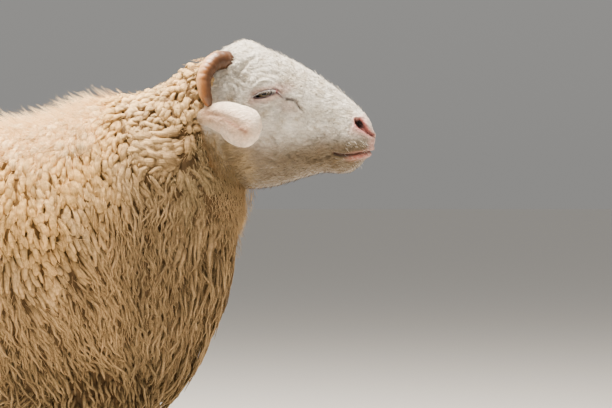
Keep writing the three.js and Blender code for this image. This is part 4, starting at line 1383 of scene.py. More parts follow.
plug(tree, shader, {"Roughness": 0.62})
for node_name in claw_names:
    piece = claw(node_name)
    wear(piece, hoof_horn)
    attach(piece, "root")
    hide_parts(node_name)

# %% [markdown]
# ## Where wool grows
# The fleece is thousands of locks, so they are made from arrays. Roots are spread in rows over
# a surface, with one root for so many square millimetres, and each lock then follows the
# surface as it lies over it. `slopes` tells how a point moves when its place or its angle
# changes, and `glide` turns a direction in space into such changes.


# %% Roots
def slopes(surface, place, angle):
    step = 0.01
    by_place = surface(place + step, angle) - surface(place - step, angle)
    by_angle = surface(place, angle + step) - surface(place, angle - step)
    return by_place / (2 * step), by_angle / (2 * step)


def glide(surface, place, angle, way):
    """Change of place and angle for one millimetre along a direction on the surface."""
    run, turn = slopes(surface, place, angle)
    run_run, run_turn, turn_turn = (run * run).sum(-1), (run * turn).sum(-1), (turn * turn).sum(-1)
    way_run, way_turn = (way * run).sum(-1), (way * turn).sum(-1)
    span = np.maximum(run_run * turn_turn - run_turn**2, 1e-6)
    by_place = (way_run * turn_turn - way_turn * run_turn) / span
    by_angle = (way_turn * run_run - way_run * run_turn) / span
    return np.stack([by_place, by_angle], -1)


def scatter(surface, rows, area_at, seed):
    """Places and angles of roots, one for each area that area_at gives for the points there."""
    draw = np.random.default_rng(seed)
    turn = np.radians(np.arange(360))
    gap, found = rows[1] - rows[0], []
    for number, place in enumerate(rows):
        spots = np.full(360, place)
        cell = np.linalg.norm(np.cross(*slopes(surface, spots, turn)), axis=-1) * gap * math.radians(1)
        count = np.concatenate([[0], np.cumsum(cell / area_at(surface(spots, turn)))])
        k = np.arange(0.5 * (number % 2), count[-1] - 0.3)
        angle = np.interp(k + draw.uniform(-0.3, 0.3, len(k)), count, np.radians(np.arange(361)))
        found.append(np.column_stack([place + draw.uniform(-0.3, 0.3, len(k)) * gap, angle]))
    return np.concatenate(found)


skin_tree = BVHTree.FromObject(skin, bpy.context.evaluated_depsgraph_get())


def bare(points, margin):
    """True where a point isn't buried deeper than the margin in the welded skin."""
    free = []
    for point in points * MM:
        near, normal, _, _ = skin_tree.find_nearest(Vector(point))
        free.append((Vector(point) - near).dot(normal) > -margin * MM)
    return np.array(free)


TRUNK_STEPS = np.linspace(0.1, 13.9, 106)
trial = scatter(trunk, TRUNK_STEPS, same(150), 3)
print(len(trial), "roots at one for each 150 square millimetres")

# %% [markdown]
# ## The shape of a lock
# On the upper body each lock rises from the skin, bends over and tucks its tip under, so that
# it shows as a rounded curl. Lower down the locks are longer and hang as wavy strands that lie
# like shingles, root deep and tip outermost. Both are one tube whose middle line goes from one
# set of shares to the other.

# %% Lock profiles
SHARES = np.linspace(0, 1, 10)
CURL_RISE = np.array([0, 0.42, 0.74, 0.93, 1.0, 0.99, 0.9, 0.73, 0.54, 0.4])
CURL_RUN = np.array([0, 0.02, 0.1, 0.28, 0.5, 0.74, 0.94, 1.04, 1.01, 0.9])
CURL_WIDTH = np.array([0.4, 0.6, 0.88, 1.03, 1.1, 1.1, 1.03, 0.9, 0.68, 0.34])
STRAND_RISE = np.array([0, 0.42, 0.64, 0.76, 0.84, 0.9, 0.94, 0.97, 0.99, 0.98])
STRAND_RUN = np.array([0, 0.03, 0.12, 0.25, 0.38, 0.51, 0.64, 0.77, 0.89, 1.0])
STRAND_WIDTH = np.array([0.6, 0.8, 0.96, 1.0, 1.0, 0.95, 0.85, 0.68, 0.46, 0.18])
# the dark root is the grease's ochre with painted shade deep in the coat, and the drop at the end is
# painted shade on a curl's tucked-in tip
LIGHT_SHARE = np.array([0, 0.03, 0.15, 0.42, 0.8, 1.0, 1.0, 0.95, 0.85, 0.7])  # root to tip colour
# painted shade on the underside of each lock, where the light from above doesn't reach
UNDERSIDE_SHADE = {3: 0.08, 4: 0.31, 6: 0.5}  # by its sides, how much darker a lock is towards the skin
PATCH = 0.003  # across each lock's patch on the bake map
print("a curl is widest", CURL_WIDTH.argmax(), "tenths along, a strand", STRAND_WIDTH.argmax())


# %% Tubes
def tube_faces(count, rings, sides):
    """Triangles of many tubes, each with a root point first and a tip point last."""
    j = np.arange(sides)
    last = 1 + (rings - 1) * sides
    start = np.stack([0 * j, 1 + (j + 1) % sides, 1 + j], -1)
    end = np.stack([0 * j + last + sides, last + j, last + (j + 1) % sides], -1)
    one = np.concatenate([start, loft_faces(rings, sides), end])
    size = rings * sides + 2
    return (one[None] + (np.arange(count) * size)[:, None, None]).reshape(-1, 3)


def tubes(name, centre, tip, side, width, flat, tint, patch, offset, sides, lobes=0.0):
    """A mesh of tubes round the lines in centre, with their colours, streaks and bake patches."""
    count, rings = centre.shape[:2]
    way = unit(np.gradient(centre, axis=1))
    side = across(side, way)
    up = np.cross(way, side)
    steps = np.linalg.norm(np.diff(centre, axis=1), axis=-1)
    far = np.concatenate([np.zeros((count, 1)), np.cumsum(steps, 1)], 1) + offset[:, None]
    turn = np.arange(sides) * 2 * math.pi / sides
    c, s = np.cos(turn)[:, None], np.sin(turn)[:, None]
    wide = width[:, :, None] * (1 + lobes * np.cos(3 * turn - 0.22 * far[:, :, None]))
    ring = centre[:, :, None] + wide[..., None] * (c * side[:, :, None] + flat * s * up[:, :, None])
    points = np.concatenate([centre[:, :1], ring.reshape(count, -1, 3), tip[:, None]], 1)
    piece = mesh_object(name, points.reshape(-1, 3), tube_faces(count, rings, sides))

    # painted shade: each lock is darker on its side towards the skin, and in the grooves between its
    # twisting ridges
    below = UNDERSIDE_SHADE[sides]
    lit = (1 - below + below * s) * np.ones((count, rings, sides, 1))
    lit = lit * (wide / width[:, :, None])[..., None]
    colours = (tint[:, :, None] * lit).reshape(count, -1, 3)
    store_colour(piece, np.concatenate([tint[:, :1], colours, tint[:, -1:]], 1).reshape(-1, 3))
    round_lock = [width[:, :, None] * np.cos(turn), width[:, :, None] * np.sin(turn)]
    streak = np.stack([*round_lock, far[:, :, None] + 0 * turn], -1).reshape(count, -1, 3)
    streak = np.concatenate([streak[:, :1], streak, streak[:, -1:]], 1)
    store(piece, "streak", "FLOAT_VECTOR", "vector", streak.reshape(-1, 3))

    u = np.concatenate([[0.5], np.tile((np.arange(sides) + 0.5) / sides, rings), [0.5]])
    v = np.concatenate([[0], np.repeat((np.arange(rings) + 0.5) / rings, sides), [1]])
    spots = (patch[:, None] + PATCH * (np.stack([u, v], -1) - 0.5)).reshape(-1, 2)
    store_bake_map(piece, spots)
    return piece


def patches(place, angle, reach):
    """Middles of the patches, spread over the bake map a little in from its edges."""
    return 0.02 + 0.96 * np.stack([place / reach, angle / (2 * math.pi)], -1)


CURL_SIZE, STRAND_SIZE = (7, 6), (7, 4)  # rings and sides
print("a curl has", len(tube_faces(1, *CURL_SIZE)), "faces, a hair", len(tube_faces(1, 2, 3)))

# %% [markdown]
# ## Laying the locks
# A lock follows the surface: its line is walked out in places and angles, with a sideways
# sway for the waves and a pull towards the middle of its cluster, since greasy locks stick
# together at their tips. The height is measured from the skin, so that the outermost part of
# each lock comes up to the surface of the coat.


# %% Lay locks
LOBES = 0.13  # how much the three ridges that twist round a lock stand out


def lay_locks(name, surface, limits, locks, rings, sides):
    """The piece of a set of locks, whose places are kept between the limits."""
    shares = np.linspace(0, 1, rings)
    each = {key: values[:, None] for key, values in locks.items()}

    def profile(curl, strand):
        return mix(np.interp(shares, SHARES, curl), np.interp(shares, SHARES, strand), each["strand"])

    rise = profile(CURL_RISE, STRAND_RISE) * each["height"]
    run = profile(CURL_RUN, STRAND_RUN) * each["run"]
    free = smooth(0.1, 0.7, shares)
    beat = 2 * math.pi * (run + 0.5 * rise) / each["period"] + each["phase"]
    sway = free * (np.sin(beat) * each["wave"] + each["pull"] * free)
    bob = free * np.cos(beat) * each["wave"] * 0.5
    place, angle = locks["place"], locks["angle"]
    normal = outward(surface, place, angle)
    lie = across(locks["lie"], normal)
    side = np.cross(normal, lie)
    ahead, aside = glide(surface, place, angle, lie), glide(surface, place, angle, side)
    spot = np.stack([place, angle], -1)[:, None]
    spot = spot + run[..., None] * ahead[:, None] + sway[..., None] * aside[:, None]
    spot[..., 0] = np.clip(spot[..., 0], *limits)
    way_out = outward(surface, spot[..., 0], spot[..., 1])
    centre = surface(spot[..., 0], spot[..., 1]) + way_out * (rise + bob - each["depth"])[..., None]
    width = profile(CURL_WIDTH, STRAND_WIDTH) * each["half"]
    width = width * (1 + each["knob"] * free * np.sin(run * 2 * math.pi / 10 + each["phase"] * 3))
    # painted shade towards the root, deep between the locks, and at a curl's tucked-in tip
    light = np.interp(shares, SHARES, LIGHT_SHARE)[:, None]
    tint = mix(each["root_tint"], each["tip_tint"], light)
    side = np.broadcast_to(side[:, None], centre.shape)
    tip = centre[:, -1] + unit(centre[:, -1] - centre[:, -2]) * width[:, -1:] * 1.2
    flat = 0.9 if sides > 5 else 0.62
    patch, offset = locks["patch"], locks["phase"] * 30
    return tubes(name, centre, tip, side, width, flat, tint, patch, offset, sides, LOBES)


def cluster_pull(roots, side, key, strength, most):
    """How far each root's tip is drawn sideways to the middle of the roots with its key."""
    _, group = np.unique(key, axis=0, return_inverse=True)
    group = group.ravel()
    size = np.bincount(group)
    middle = np.stack([np.bincount(group, roots[:, axis]) / size for axis in range(3)], -1)
    away = ((middle[group] - roots) * side).sum(-1)
    return np.clip(away * strength, -most, most), group


three = np.array([[0, 0, 0], [1, 0, 0], [5, 0, 0]], float)
pulled, _ = cluster_pull(three, np.array([1, 0, 0]), three[:, 1:], 0.5, 6.5)
print("three roots of one cluster are drawn sideways by", pulled)

# %% [markdown]
# ## The fleece of the body
# The kind of wool changes over the body. Along the back the tips are brushed out and pale. On
# the upper side and the nape they are round curls, and below a line that runs down the
# shoulder they hang in long wavy strands. Functions of place give each kind its share, so that
# one kind passes into the next.


# %% Kinds of wool over the body
def above_strands(points):
    """Height above the line where curls give way to strands."""
    x, z = side_view(points)
    places = [-480, -420, 0, 90, 130, 170, 215, 255, 300]
    line = np.interp(x, places, [560, 450, 445, 460, 530, 592, 598, 612, 650])
    return z - line + 20 * waves(points, 55, 81)


def fluff_share(points):
    """1 along the back, where the tips are brushed out."""
    x, z = side_view(points)
    line = np.interp(x, [-480, -380, -200, 0, 90, 130, 160], [590, 602, 606, 603, 612, 640, 700])
    share = smooth(-14, 18, z - line + 10 * waves(points, 60, 82))
    x = x + 18 * waves(points, 45, 89)  # the ends of the fluff are ragged
    return share * (1 - smooth(112, 170, x)) * smooth(-486, -444, x)


def sausage_share(points):
    """1 in the rows of fat curls that lie level behind and below the ear."""
    x, z = side_view(points)
    return band(184, 200, 238, 250, x) * band(592, 604, 640, 654, z)


def ringlet_share(points):
    """1 in the ropes of wool that hang from the fat curls."""
    x, z = side_view(points)
    return band(226, 240, 278, 296, x) * band(470, 510, 606, 625, z)


def strand_share(points):
    share = 1 - smooth(-42, 42, above_strands(points))
    return share * (1 - sausage_share(points))


def nape_share(points):
    x, z = side_view(points)
    return smooth(150, 185, x + 0.3 * (z - 650)) * (1 - strand_share(points))


def wool_lie(points, normals):
    """The way the wool lies: down, leaning with the place, and level in the fat curls."""
    x, z = side_view(points)
    lean = 0.55 * spot_at(x, z, (90, 430), (70, 140))
    lean += 0.35 * smooth(190, 300, x) * (1 - smooth(480, 560, z))
    lean += 0.26 * waves(points, 75, 83)
    lean -= 0.35 * (1 - smooth(-470, -380, x)) + 0.5 * (1 - smooth(270, 330, z))
    top = smooth(0.55, 0.95, normals[..., 2])
    spread = np.clip(points[..., 1] / 70, -1, 1) * (0.25 + 0.7 * top)
    down = -1 + 0.9 * top
    way = np.stack([lean - 0.9 * top, spread, down], -1)
    level = np.stack([-1 + 0 * x, 0 * x, -0.25 + 0.4 * waves(points, 40, 84)], -1)
    return mix(way, level, sausage_share(points)[..., None])


print("fluff covers", round(100 * fluff_share(trunk(*trial.T)).mean()), "percent of the trial roots")

# %% Colours of the wool
CREAM = linear("#FFDFAC")
CURL_TIP = linear("#FFCC7E")
NAPE_TIP = linear("#FFD595")
# The strands' tips are browner wool; lower on the body they are darker still, with dirt and with painted
# shade.
STRAND_TIP = linear("#B29268")
NECK_TIP = linear("#A18660")
LOW_TIP_DIRT_AND_SHADE = linear("#8C7551")
# The roots are the ochre of the grease, darkened with painted shade of the deep gaps between the locks.
CURL_ROOT = linear("#50300F")
STRAND_ROOT = linear("#46321D")
print("a curl goes from", CURL_ROOT.round(3), "at its root to", CURL_TIP.round(3))


def wool_tints(points, group, draw):
    """Colours of tips and roots. Each lock is a little lighter or darker, and so is its cluster."""
    strand, fluff, fat = strand_share(points), fluff_share(points), sausage_share(points)
    x, z = side_view(points)
    tip = lay(all_over(CURL_TIP, points), NAPE_TIP, nape_share(points))
    low = 1 - smooth(-50, 165, above_strands(points))
    # browner tips lower down: the strands' own colour and painted shade
    tip = lay(tip, STRAND_TIP, 0.9 * low)
    tip = lay(tip, NECK_TIP, 0.8 * smooth(140, 190, x) * low * (1 - 0.6 * fat))
    # darker towards the bottom: dirt and painted shade
    tip = lay(tip, LOW_TIP_DIRT_AND_SHADE, strand * (1 - smooth(250, 440, z)))
    tip = lay(tip, CREAM, fluff)
    tip = lay(tip, CHEEK_TAN, 0.9 * cheek_share(points) * (1 - fat))
    tip = lay(tip, CREAM, 0.25 * np.clip(waves(points, 90, 85), 0, 1) * (1 - strand))
    # dark roots: grease ochre and painted shade deep in the coat
    root = lay(all_over(CURL_ROOT, points), STRAND_ROOT, low)
    root = lay(root, CURL_TIP, fluff * 0.8)
    own = draw.normal(size=len(points))
    shared = draw.normal(size=group.max() + 1)[group]
    shade = 1.05 + 0.1 * own + 0.1 * shared
    return tip * np.clip(shade, 0.7, 1.3)[:, None], root * np.clip(shade, 0.75, 1.2)[:, None]


# %% Density and depth of the coat
def trunk_area(points):
    """Square millimetres to a root."""
    under = 1 - smooth(255, 330, points[..., 2])
    above = above_strands(points)
    area = mix(60 + 26 * smooth(50, 150, above), 49, strand_share(points))
    area = area * (1 - 0.35 * bell(above + 8, 22))  # denser where strands begin
    before_curls = spot_at(*side_view(points), (243, 602), (17, 34))
    area = area * (1 - 0.55 * before_curls)  # and in front of the fat curls
    return area + 60 * fluff_share(points) + 80 * under


def coat_room(points):
    """face_room, raised above the eye, where the coat is full close to the face."""
    return face_room(points) + 0.3 * smooth(655, 680, points[..., 2])


def fullness(points):
    """How much of its depth the coat keeps: it slopes down towards the face."""
    return 0.4 + 0.6 * smooth(0.98, 1.5, coat_room(points))


print("one root for", trunk_area(trunk(*trial.T)).mean().round(), "square millimetres on average")


# %% Settings of each lock
def wool_locks(surface, roots, depth, seed, length=1.0, thickness=1.0):
    """Everything but the bake patches that lay_locks needs, for the roots that lie bare and outside the
    face.
    """
    draw = np.random.default_rng(seed)
    place, angle = roots.T
    points, normals = surface(place, angle), outward(surface, place, angle)
    depth = np.broadcast_to(depth, place.shape)
    keep = (face_room(points) > 1) & bare(points - normals * (depth[:, None] - 1), 3)
    place, angle, points, normals = place[keep], angle[keep], points[keep], normals[keep]
    depth = depth[keep]
    count = len(place)
    strand, fluff = strand_share(points), fluff_share(points)
    nape, fat, rope = nape_share(points), sausage_share(points), ringlet_share(points)
    lie = wool_lie(points, normals)
    side = np.cross(normals, across(lie, normals))
    x = points[:, 0] + 9 * waves(points, 60, 86)
    level = points[:, 2] + points[:, 1] * 0.4 + 12 * waves(points, 50, 87)
    column = np.floor(x / 21)
    key = np.stack([column, np.floor(level / 42 + 0.5 * (column % 2)), np.sign(points[:, 1])], -1)
    pull, group = cluster_pull(points, side, key, 0.5, 6.5)
    tip_tint, root_tint = wool_tints(points, group, draw)
    room = coat_room(points)
    near = 0.45 + 0.55 * smooth(1.0, 1.4, room)  # shorter beside the face
    full = fullness(points)
    belly = 1 - 0.35 * smooth(0.4, 0.9, -normals[:, 2])
    run = mix(19, 52, strand) * mix(1, 0.62, nape * (1 - fat)) * mix(1, 1.55, fat) * near * belly
    curl_half = 3.9 + 1.1 * smooth(50, 150, above_strands(points))
    half = mix(curl_half, 2.1, strand) * mix(1, 1.4, fat) * mix(1, 1.7, rope)
    half = half * mix(1, 1.35, fluff) * mix(0.5, 1, near)
    half = half * draw.uniform(0.7, 1.45, count) * thickness
    root_depth = depth + 1.5
    lift = draw.normal(0, 1.2, count) - 2 * fluff + 2.2 * waves(points, 34, 88) * mix(1, 0.5, nape)
    edge = np.maximum(smooth(0.2, 0.8, normals[:, 0]), 0.8 * smooth(0.15, 0.5, -normals[:, 2]))
    wisp = (draw.uniform(size=count) < 0.15) * strand * edge * smooth(1.4, 1.9, room)
    loose = mix(0.2, 0.13, strand) * (1 + 2.5 * nape * (1 - fat))
    fine = 1.5 * cheek_share(points) * (1 - fat)
    return {
        "place": place,
        "angle": angle,
        "lie": lie + draw.normal(size=(count, 3)) * loose[:, None],
        "strand": np.clip(strand + 0.12 * draw.normal(size=count) + fine, 0, 1),
        "run": run * draw.uniform(0.75, 1.3, count) * length * (1 + 0.5 * wisp),
        "height": np.maximum(root_depth - 0.85 * half + lift - 1.5, 0.4 * root_depth) * full + 12 * wisp,
        "half": half,
        "depth": root_depth,
        "knob": mix(mix(0.07, 0.26, fat), 0.05, strand) + 0.16 * rope,
        "wave": mix(0.8, 2.3, strand) * draw.uniform(0.5, 1.3, count),
        "period": mix(26, 22, strand) * draw.uniform(0.85, 1.2, count),
        "phase": draw.uniform(0, 6.28, count),
        "pull": pull * (0.25 + 0.75 * strand),
        "tip_tint": tip_tint,
        "root_tint": root_tint,
    }


# %% Locks of the trunk and neck
TRUNK_LIMITS = (0.02, 13.98)


def some(locks, chosen):
    return {key: values[chosen] for key, values in locks.items()}


def lay_both(name, surface, limits, locks):
    """Curls with rounder sections and flatter strands, as two pieces."""
    strands = locks["strand"] > 0.5
    made = []
    for kind, own, size in (("_curls", ~strands, CURL_SIZE), ("_strands", strands, STRAND_SIZE)):
        if own.any():
            made.append(lay_locks(name + kind, surface, limits, some(locks, own), *size))
            print(made[-1].name, len(made[-1].data.polygons))
    return made


body_roots = scatter(trunk, TRUNK_STEPS, trunk_area, 11)
body_wool = wool_locks(trunk, body_roots, CORE_DEPTH, 12)
body_wool["patch"] = patches(body_wool["place"], body_wool["angle"], TRUNK_END)
print(len(body_wool["place"]), "locks on trunk and neck")

# %% Pieces of the body's fleece
fleece = []
ZONES = {  # where on the body line each starts and ends
    "rump": (0, 3.0),
    "loin": (3.0, 5.2),
    "barrel": (5.2, 7.1),
    "shoulder": (7.1, 9.2),
    "neck": (9.2, 14.1),
}
for zone, (start, end) in ZONES.items():
    within = (body_wool["place"] >= start) & (body_wool["place"] < end)
    for hand, side_name in SIDES:
        chosen = within & (np.cos(body_wool["angle"]) * hand > 0)
        own = some(body_wool, chosen)
        fleece += lay_both(f"fleece_{zone}_{side_name}", trunk, TRUNK_LIMITS, own)

# %% [markdown]
# ## Wool of the legs, the tail and the poll
# The same two functions lay the wool of the upper legs, the tail and the poll between the
# horns. Only the surface, the depth and the length of the locks change.

# %% Leg, tail and poll wool
for number, (leg_name, leg) in enumerate(LEGS.items()):
    for hand, side_name in SIDES:
        surface = leg_surface(leg, hand, LEG_COAT)
        rows = np.arange(leg["coat_end"] + 4, leg["top"], 10.0)
        roots = scatter(surface, rows, same(115), 21 + number)
        locks = wool_locks(surface, roots, LEG_COAT / 2 + 2, 23 + number, 0.62, 0.95)
        spread = np.stack([locks["place"] / 480, locks["angle"] / (2 * math.pi)], -1)
        locks["patch"] = 0.02 + 0.46 * spread + [0.5 * number, 0.25 + 0.25 * hand]
        limits = (leg["coat_end"] - 6, leg["top"])
        fleece += lay_both(f"fleece_{leg_name}leg_{side_name}", surface, limits, locks)

roots = scatter(tail, np.arange(0.1, 5.95, 0.2), same(110), 31)
locks = wool_locks(tail, roots, TAIL_COAT / 2 + 2, 32, 0.7, 0.85)
locks["patch"] = patches(locks["place"], locks["angle"], 6)
fleece += lay_both("fleece_tail", tail, (0.02, 5.98), locks)


# %% Poll, cheeks and throat
def bare_head(place, angle):
    return from_head(head_ring(place, angle))


def ruff_coat(points):
    """Depth of the wool on the head: it thins out towards the face."""
    return mix(3.5, 12, smooth(1.0, 1.35, face_room(points)))


def ruff(place, angle):
    points = bare_head(place, angle)
    return points + outward(bare_head, place, angle) * ruff_coat(points)[..., None]


def ruff_area(points):
    return mix(34, 75, smooth(1.0, 1.3, face_room(points)))


roots = scatter(ruff, np.arange(-15, 84, 7.0), ruff_area, 41)
locks = wool_locks(ruff, roots, ruff_coat(bare_head(*roots.T)), 42, 0.75, 0.85)
locks["patch"] = patches(locks["place"] + 20, locks["angle"], 110)
fleece += lay_both("fleece_ruff", ruff, (-17, 90), locks)

# %% [markdown]
# ## Underwool
# Between the locks one looks down on more wool, never on bare skin. A closed layer with small
# bumps, well under the tips, stands for that dense part of the fleece. It takes the colour of
# the lock roots: ochre with grease, darkened with painted shade, since little light reaches
# that deep.

# %% Underwool
UNDER_TIPS = 7.0  # millimetres from the lock tips down to the dense wool


def underwool(name, surface, places, sides, depth):
    place, angle = all_round(places, sides)
    tips = surface(place, angle)
    room = face_room(tips)
    depth = mix(depth + 26, depth + CORE_DEPTH * (1 - fullness(tips)), smooth(1.0, 1.25, room))
    rings = tips - outward(surface, place, angle) * (depth + 2.4 * waves(tips, 11, 91))[..., None]
    piece = mesh_object(name, *loft(rings))
    points = read(piece.data.vertices, "co") / MM
    tip, root = wool_tints(points, np.zeros(len(points), int), np.random.default_rng(92))
    # mostly the roots' colour: grease ochre with painted shade
    store_colour(piece, mix(root, tip, 0.12 + 0.45 * fluff_share(points)[:, None]))
    store(piece, "streak", "FLOAT_VECTOR", "vector", points * [0.35, 0.35, 0.08])
    u, v = (place - places[0]) / np.ptp(places), angle / (2 * math.pi)
    spots = np.stack([u, v], -1).reshape(-1, 2)
    spots = 0.02 + 0.96 * np.concatenate([spots[:1], spots, spots[-1:]])
    store_bake_map(piece, spots)
    return piece


fleece.append(underwool("underwool_trunk", trunk, np.linspace(0.02, 12.6, 110), 150, UNDER_TIPS))
fleece.append(underwool("underwool_tail", tail, np.linspace(0.05, 5.9, 30), 40, 6.0))
for leg_name, leg in LEGS.items():
    for hand, side_name in SIDES:
        surface = leg_surface(leg, hand, LEG_COAT)
        heights = np.linspace(leg["coat_end"] + 6, leg["top"] - 4, 26)
        fleece.append(underwool(f"underwool_{leg_name}leg_{side_name}", surface, heights, 60, 9.0))
print("underwool:", sum(len(piece.data.polygons) for piece in fleece[-6:]), "faces")

# %% [markdown]
# ## Loose fibres
# Single fibres stand off the locks. Along the back they are brushed out into a pale fluff, and
# elsewhere a few soften the outline. Each is a three-sided spike with one bend, made thicker
# than a real fibre so that it shows.


# %% Hairs
def lay_hairs(name, roots, way, droop, length, half, tint, patch, seed):
    draw = np.random.default_rng(seed)
    way = unit(way)
    middle = roots + way * (0.55 * length)[:, None] + droop * 0.25
    tip = roots + way * length[:, None] + droop
    centre = np.stack([roots, middle], 1)
    side = np.cross(way, draw.normal(size=way.shape))
    side = np.broadcast_to(side[:, None], centre.shape)
    width = half[:, None] * [1, 0.8]
    tint = np.broadcast_to(tint[:, None], centre.shape)
    piece = tubes(name, centre, tip, side, width, 1.0, tint, patch, draw.uniform(0, 50, len(roots)), 3)
    print(name, len(piece.data.polygons), "faces")
    return piece


def trunk_hairs(name, area, chosen_at, depth_at, length, half, stand, cream, seed):
    """Hairs of the trunk where chosen_at is high, in two pieces, one for each side."""
    draw = np.random.default_rng(seed)
    roots = scatter(trunk, TRUNK_STEPS, same(area), seed)
    points, normals = trunk(*roots.T), outward(trunk, *roots.T)
    bases = points - normals * depth_at(points)[:, None]
    keep = (chosen_at(points) > draw.uniform(0, 1, len(points))) & bare(bases, 4)
    roots, points, normals, bases = roots[keep], points[keep], normals[keep], bases[keep]
    count = len(points)
    lie = across(wool_lie(points, normals), normals)
    gather = np.stack([waves(points, 30, seed + k) for k in range(3)], -1)  # leans them into tufts
    way = normals * stand + lie * 0.8 + gather * 0.24 + draw.normal(size=(count, 3)) * 0.26
    lengths = length * draw.uniform(0.6, 1.25, count) * (1 - 0.5 * nape_share(points))
    droop = (lie * 0.3 + draw.normal(size=(count, 3)) * 0.12) * lengths[:, None]
    tint, _ = wool_tints(points, np.zeros(count, int), draw)
    tint = mix(tint, CREAM, cream * (1 - 0.8 * cheek_share(points))[:, None])
    patch = patches(*roots.T, TRUNK_END)
    thick = half * draw.uniform(0.7, 1.2, count)
    made = []
    for hand, side_name in SIDES:
        own = np.cos(roots[:, 1]) * hand > 0
        rows = (values[own] for values in (bases, way, droop, lengths, thick, tint, patch))
        made.append(lay_hairs(f"{name}_{side_name}", *rows, seed + 1))
    return made


# %% Fluff and loose fibres of the body
def fuzz_share(points):
    """1 on the cheek and throat, where fine short wool covers skin and lock roots."""
    room = face_room(points)
    below_ear = 1 - smooth(628, 655, points[..., 2])
    locks = np.maximum(sausage_share(points), ringlet_share(points))
    return band(0.66, 0.8, 1.5, 1.8, room) * below_ear * (1 - locks)


def fuzz_depth(points):
    """It grows on the skin inside the opening of the fleece and on the locks outside it."""
    return np.where(face_room(points) < 1, CORE_DEPTH, 5 + CORE_DEPTH * (1 - fullness(points)))


def loose_share(points):
    return (0.9 - 0.5 * fluff_share(points)) * (face_room(points) > 1.04)


HAIR_KINDS = [  # name, area to a root, share, depth, length, half width, stand, paleness, seed
    ("fluff", 12, fluff_share, same(8), 25, 0.36, 0.85, 0.7, 101),
    ("loose_fibres", 64, loose_share, same(4), 16, 0.28, 0.48, 0.12, 103),
    ("cheek_fuzz", 6, fuzz_share, fuzz_depth, 11, 0.3, 0.45, 0.15, 105),
]
for kind in HAIR_KINDS:
    fleece += trunk_hairs(*kind)

# %% [markdown]
# ## Wool
# Wool fibres are fine, crimped and greasy, so a lock has a soft, almost chalky look with faint
# streaks along it. The streaks come from each lock's own "streak" attribute: two numbers across
# the lock and one along it, in millimetres, which lets one material serve every lock.

# %% Wool material
# Grease and crimp take the shine from wool, so its light is soft and its streaks are faint.
greasy_wool, tree, shader = new_material("greasy_crimped_wool")
FIBRE_BUNDLE = 1.4  # millimetres, coarser than real fibres of 0.03 so that it shows
CRIMP = 3.0  # millimetres along the lock from one crimp of the fibres to the next
print("a strand of 52 mm has", round(52 / CRIMP), "crimps")
streak = put(tree, "Attribute", attribute_name="streak").outputs["Vector"]
stretched = put(tree, "Mapping", {"Vector": streak, "Scale": (1, 1, 0.16)}).outputs["Vector"]
fibres, fibre_shade = grain(tree, stretched, FIBRE_BUNDLE, 3, 0.65, (0.66, 1.14))
crimped = put(tree, "Mapping", {"Vector": streak, "Scale": (0.4, 0.4, 1)}).outputs["Vector"]
crimp, crimp_shade = grain(tree, crimped, CRIMP, 3, 0.6, (0.74, 1.14))
height = put(tree, "Math", {0: fibres, 1: crimp}, operation="ADD").outputs["Value"]
bump = put(tree, "Bump", {"Height": height, "Strength": 1.0, "Distance": 1.3 * MM})
wool_colour = tinted(tree, fibre_shade, crimp_shade)
plug(tree, shader, {"Base Color": wool_colour, "Normal": bump.outputs["Normal"]})
plug(tree, shader, {"Roughness": 0.85, "Specular IOR Level": 0.15})

# %% Fibre material
# Single fibres are as dull as the locks, and catch just enough light to make the outline soft.
fibre, tree, shader = new_material("loose_wool_fibre")
plug(tree, shader, {"Base Color": tinted(tree), "Roughness": 0.9, "Specular IOR Level": 0.1})
for piece in fleece:
    wear(piece, fibre if piece.name.startswith(("fluff", "loose", "cheek")) else greasy_wool)
    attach(piece, "root")
print(len(fleece), "pieces of fleece")

# %% [markdown]
# ## Short hair of the face and legs
# The short hair is a bump in the skin's material, but along the outline one sees its tips. So
# small tufts are set all over the face and shanks, shortest on the nose and longer towards the
# wool. They take their colours from the skin's own function.

# %% Where short hair grows
def above_jaw(points):
    f, r, _ = to_head(points)
    return smooth(-55, 0, r - 0.27 * (f - 100)) * 0.9 + 0.1


def temple_share(points):
    """1 at the temple, where the short hair is crinkled."""
    f, r, _ = to_head(points)
    return spot_at(f, r, (36, 46), (22, 26))


def face_hair_area(points):
    """Square millimetres to a hair."""
    return mix(15.0, 8.0, np.maximum(cheek_share(points), temple_share(points)))


def face_hair_length(points):
    """Millimetres, and 0 on the bare skin of nose, lips and lids."""
    f, r, _ = to_head(points)
    length = 3.6 + 4.5 * smooth(0.72, 1.0, face_room(points)) + 1.2 * smooth(150, 60, f)
    length += 5 * cheek_share(points) + 2.5 * temple_share(points)
    length += 6 * spot_at(f, r, (42, 62), (8, 15))  # over the horn's root
    muzzle = smooth(190, 232, f)
    bald = (rim_share(f, r) < 1.6) | (nostril_share(f, r) < 2.2) * (f > 200) | (f > 232)
    far, where = line_distance(f, r, TEAR_LINE)
    bald |= far < mix(4.8, 2.2, where)
    far, _ = line_distance(f, r, MOUTH_LINE)
    return np.where(bald | (far < 3.5), 0, length * (1 - 0.45 * muzzle))


def face_hair_way(points):
    """Backward, downward on the cheek, and this way and that at the temple."""
    f, r, _ = to_head(points)
    back = -FORWARD * np.ones(points.shape)
    down = -0.5 * (1 - smooth(-40, 20, r)) * smooth(200, 120, f) + 0.35 * smooth(30, 70, r)
    crinkle = 0.25 * waves(points, 30, 111) + temple_share(points) * waves(points, 9, 112)
    return back + (down + crinkle)[:, None] * UPWARD


print("the face's hair is up to", face_hair_length(skin_points).max().round(1), "mm long")


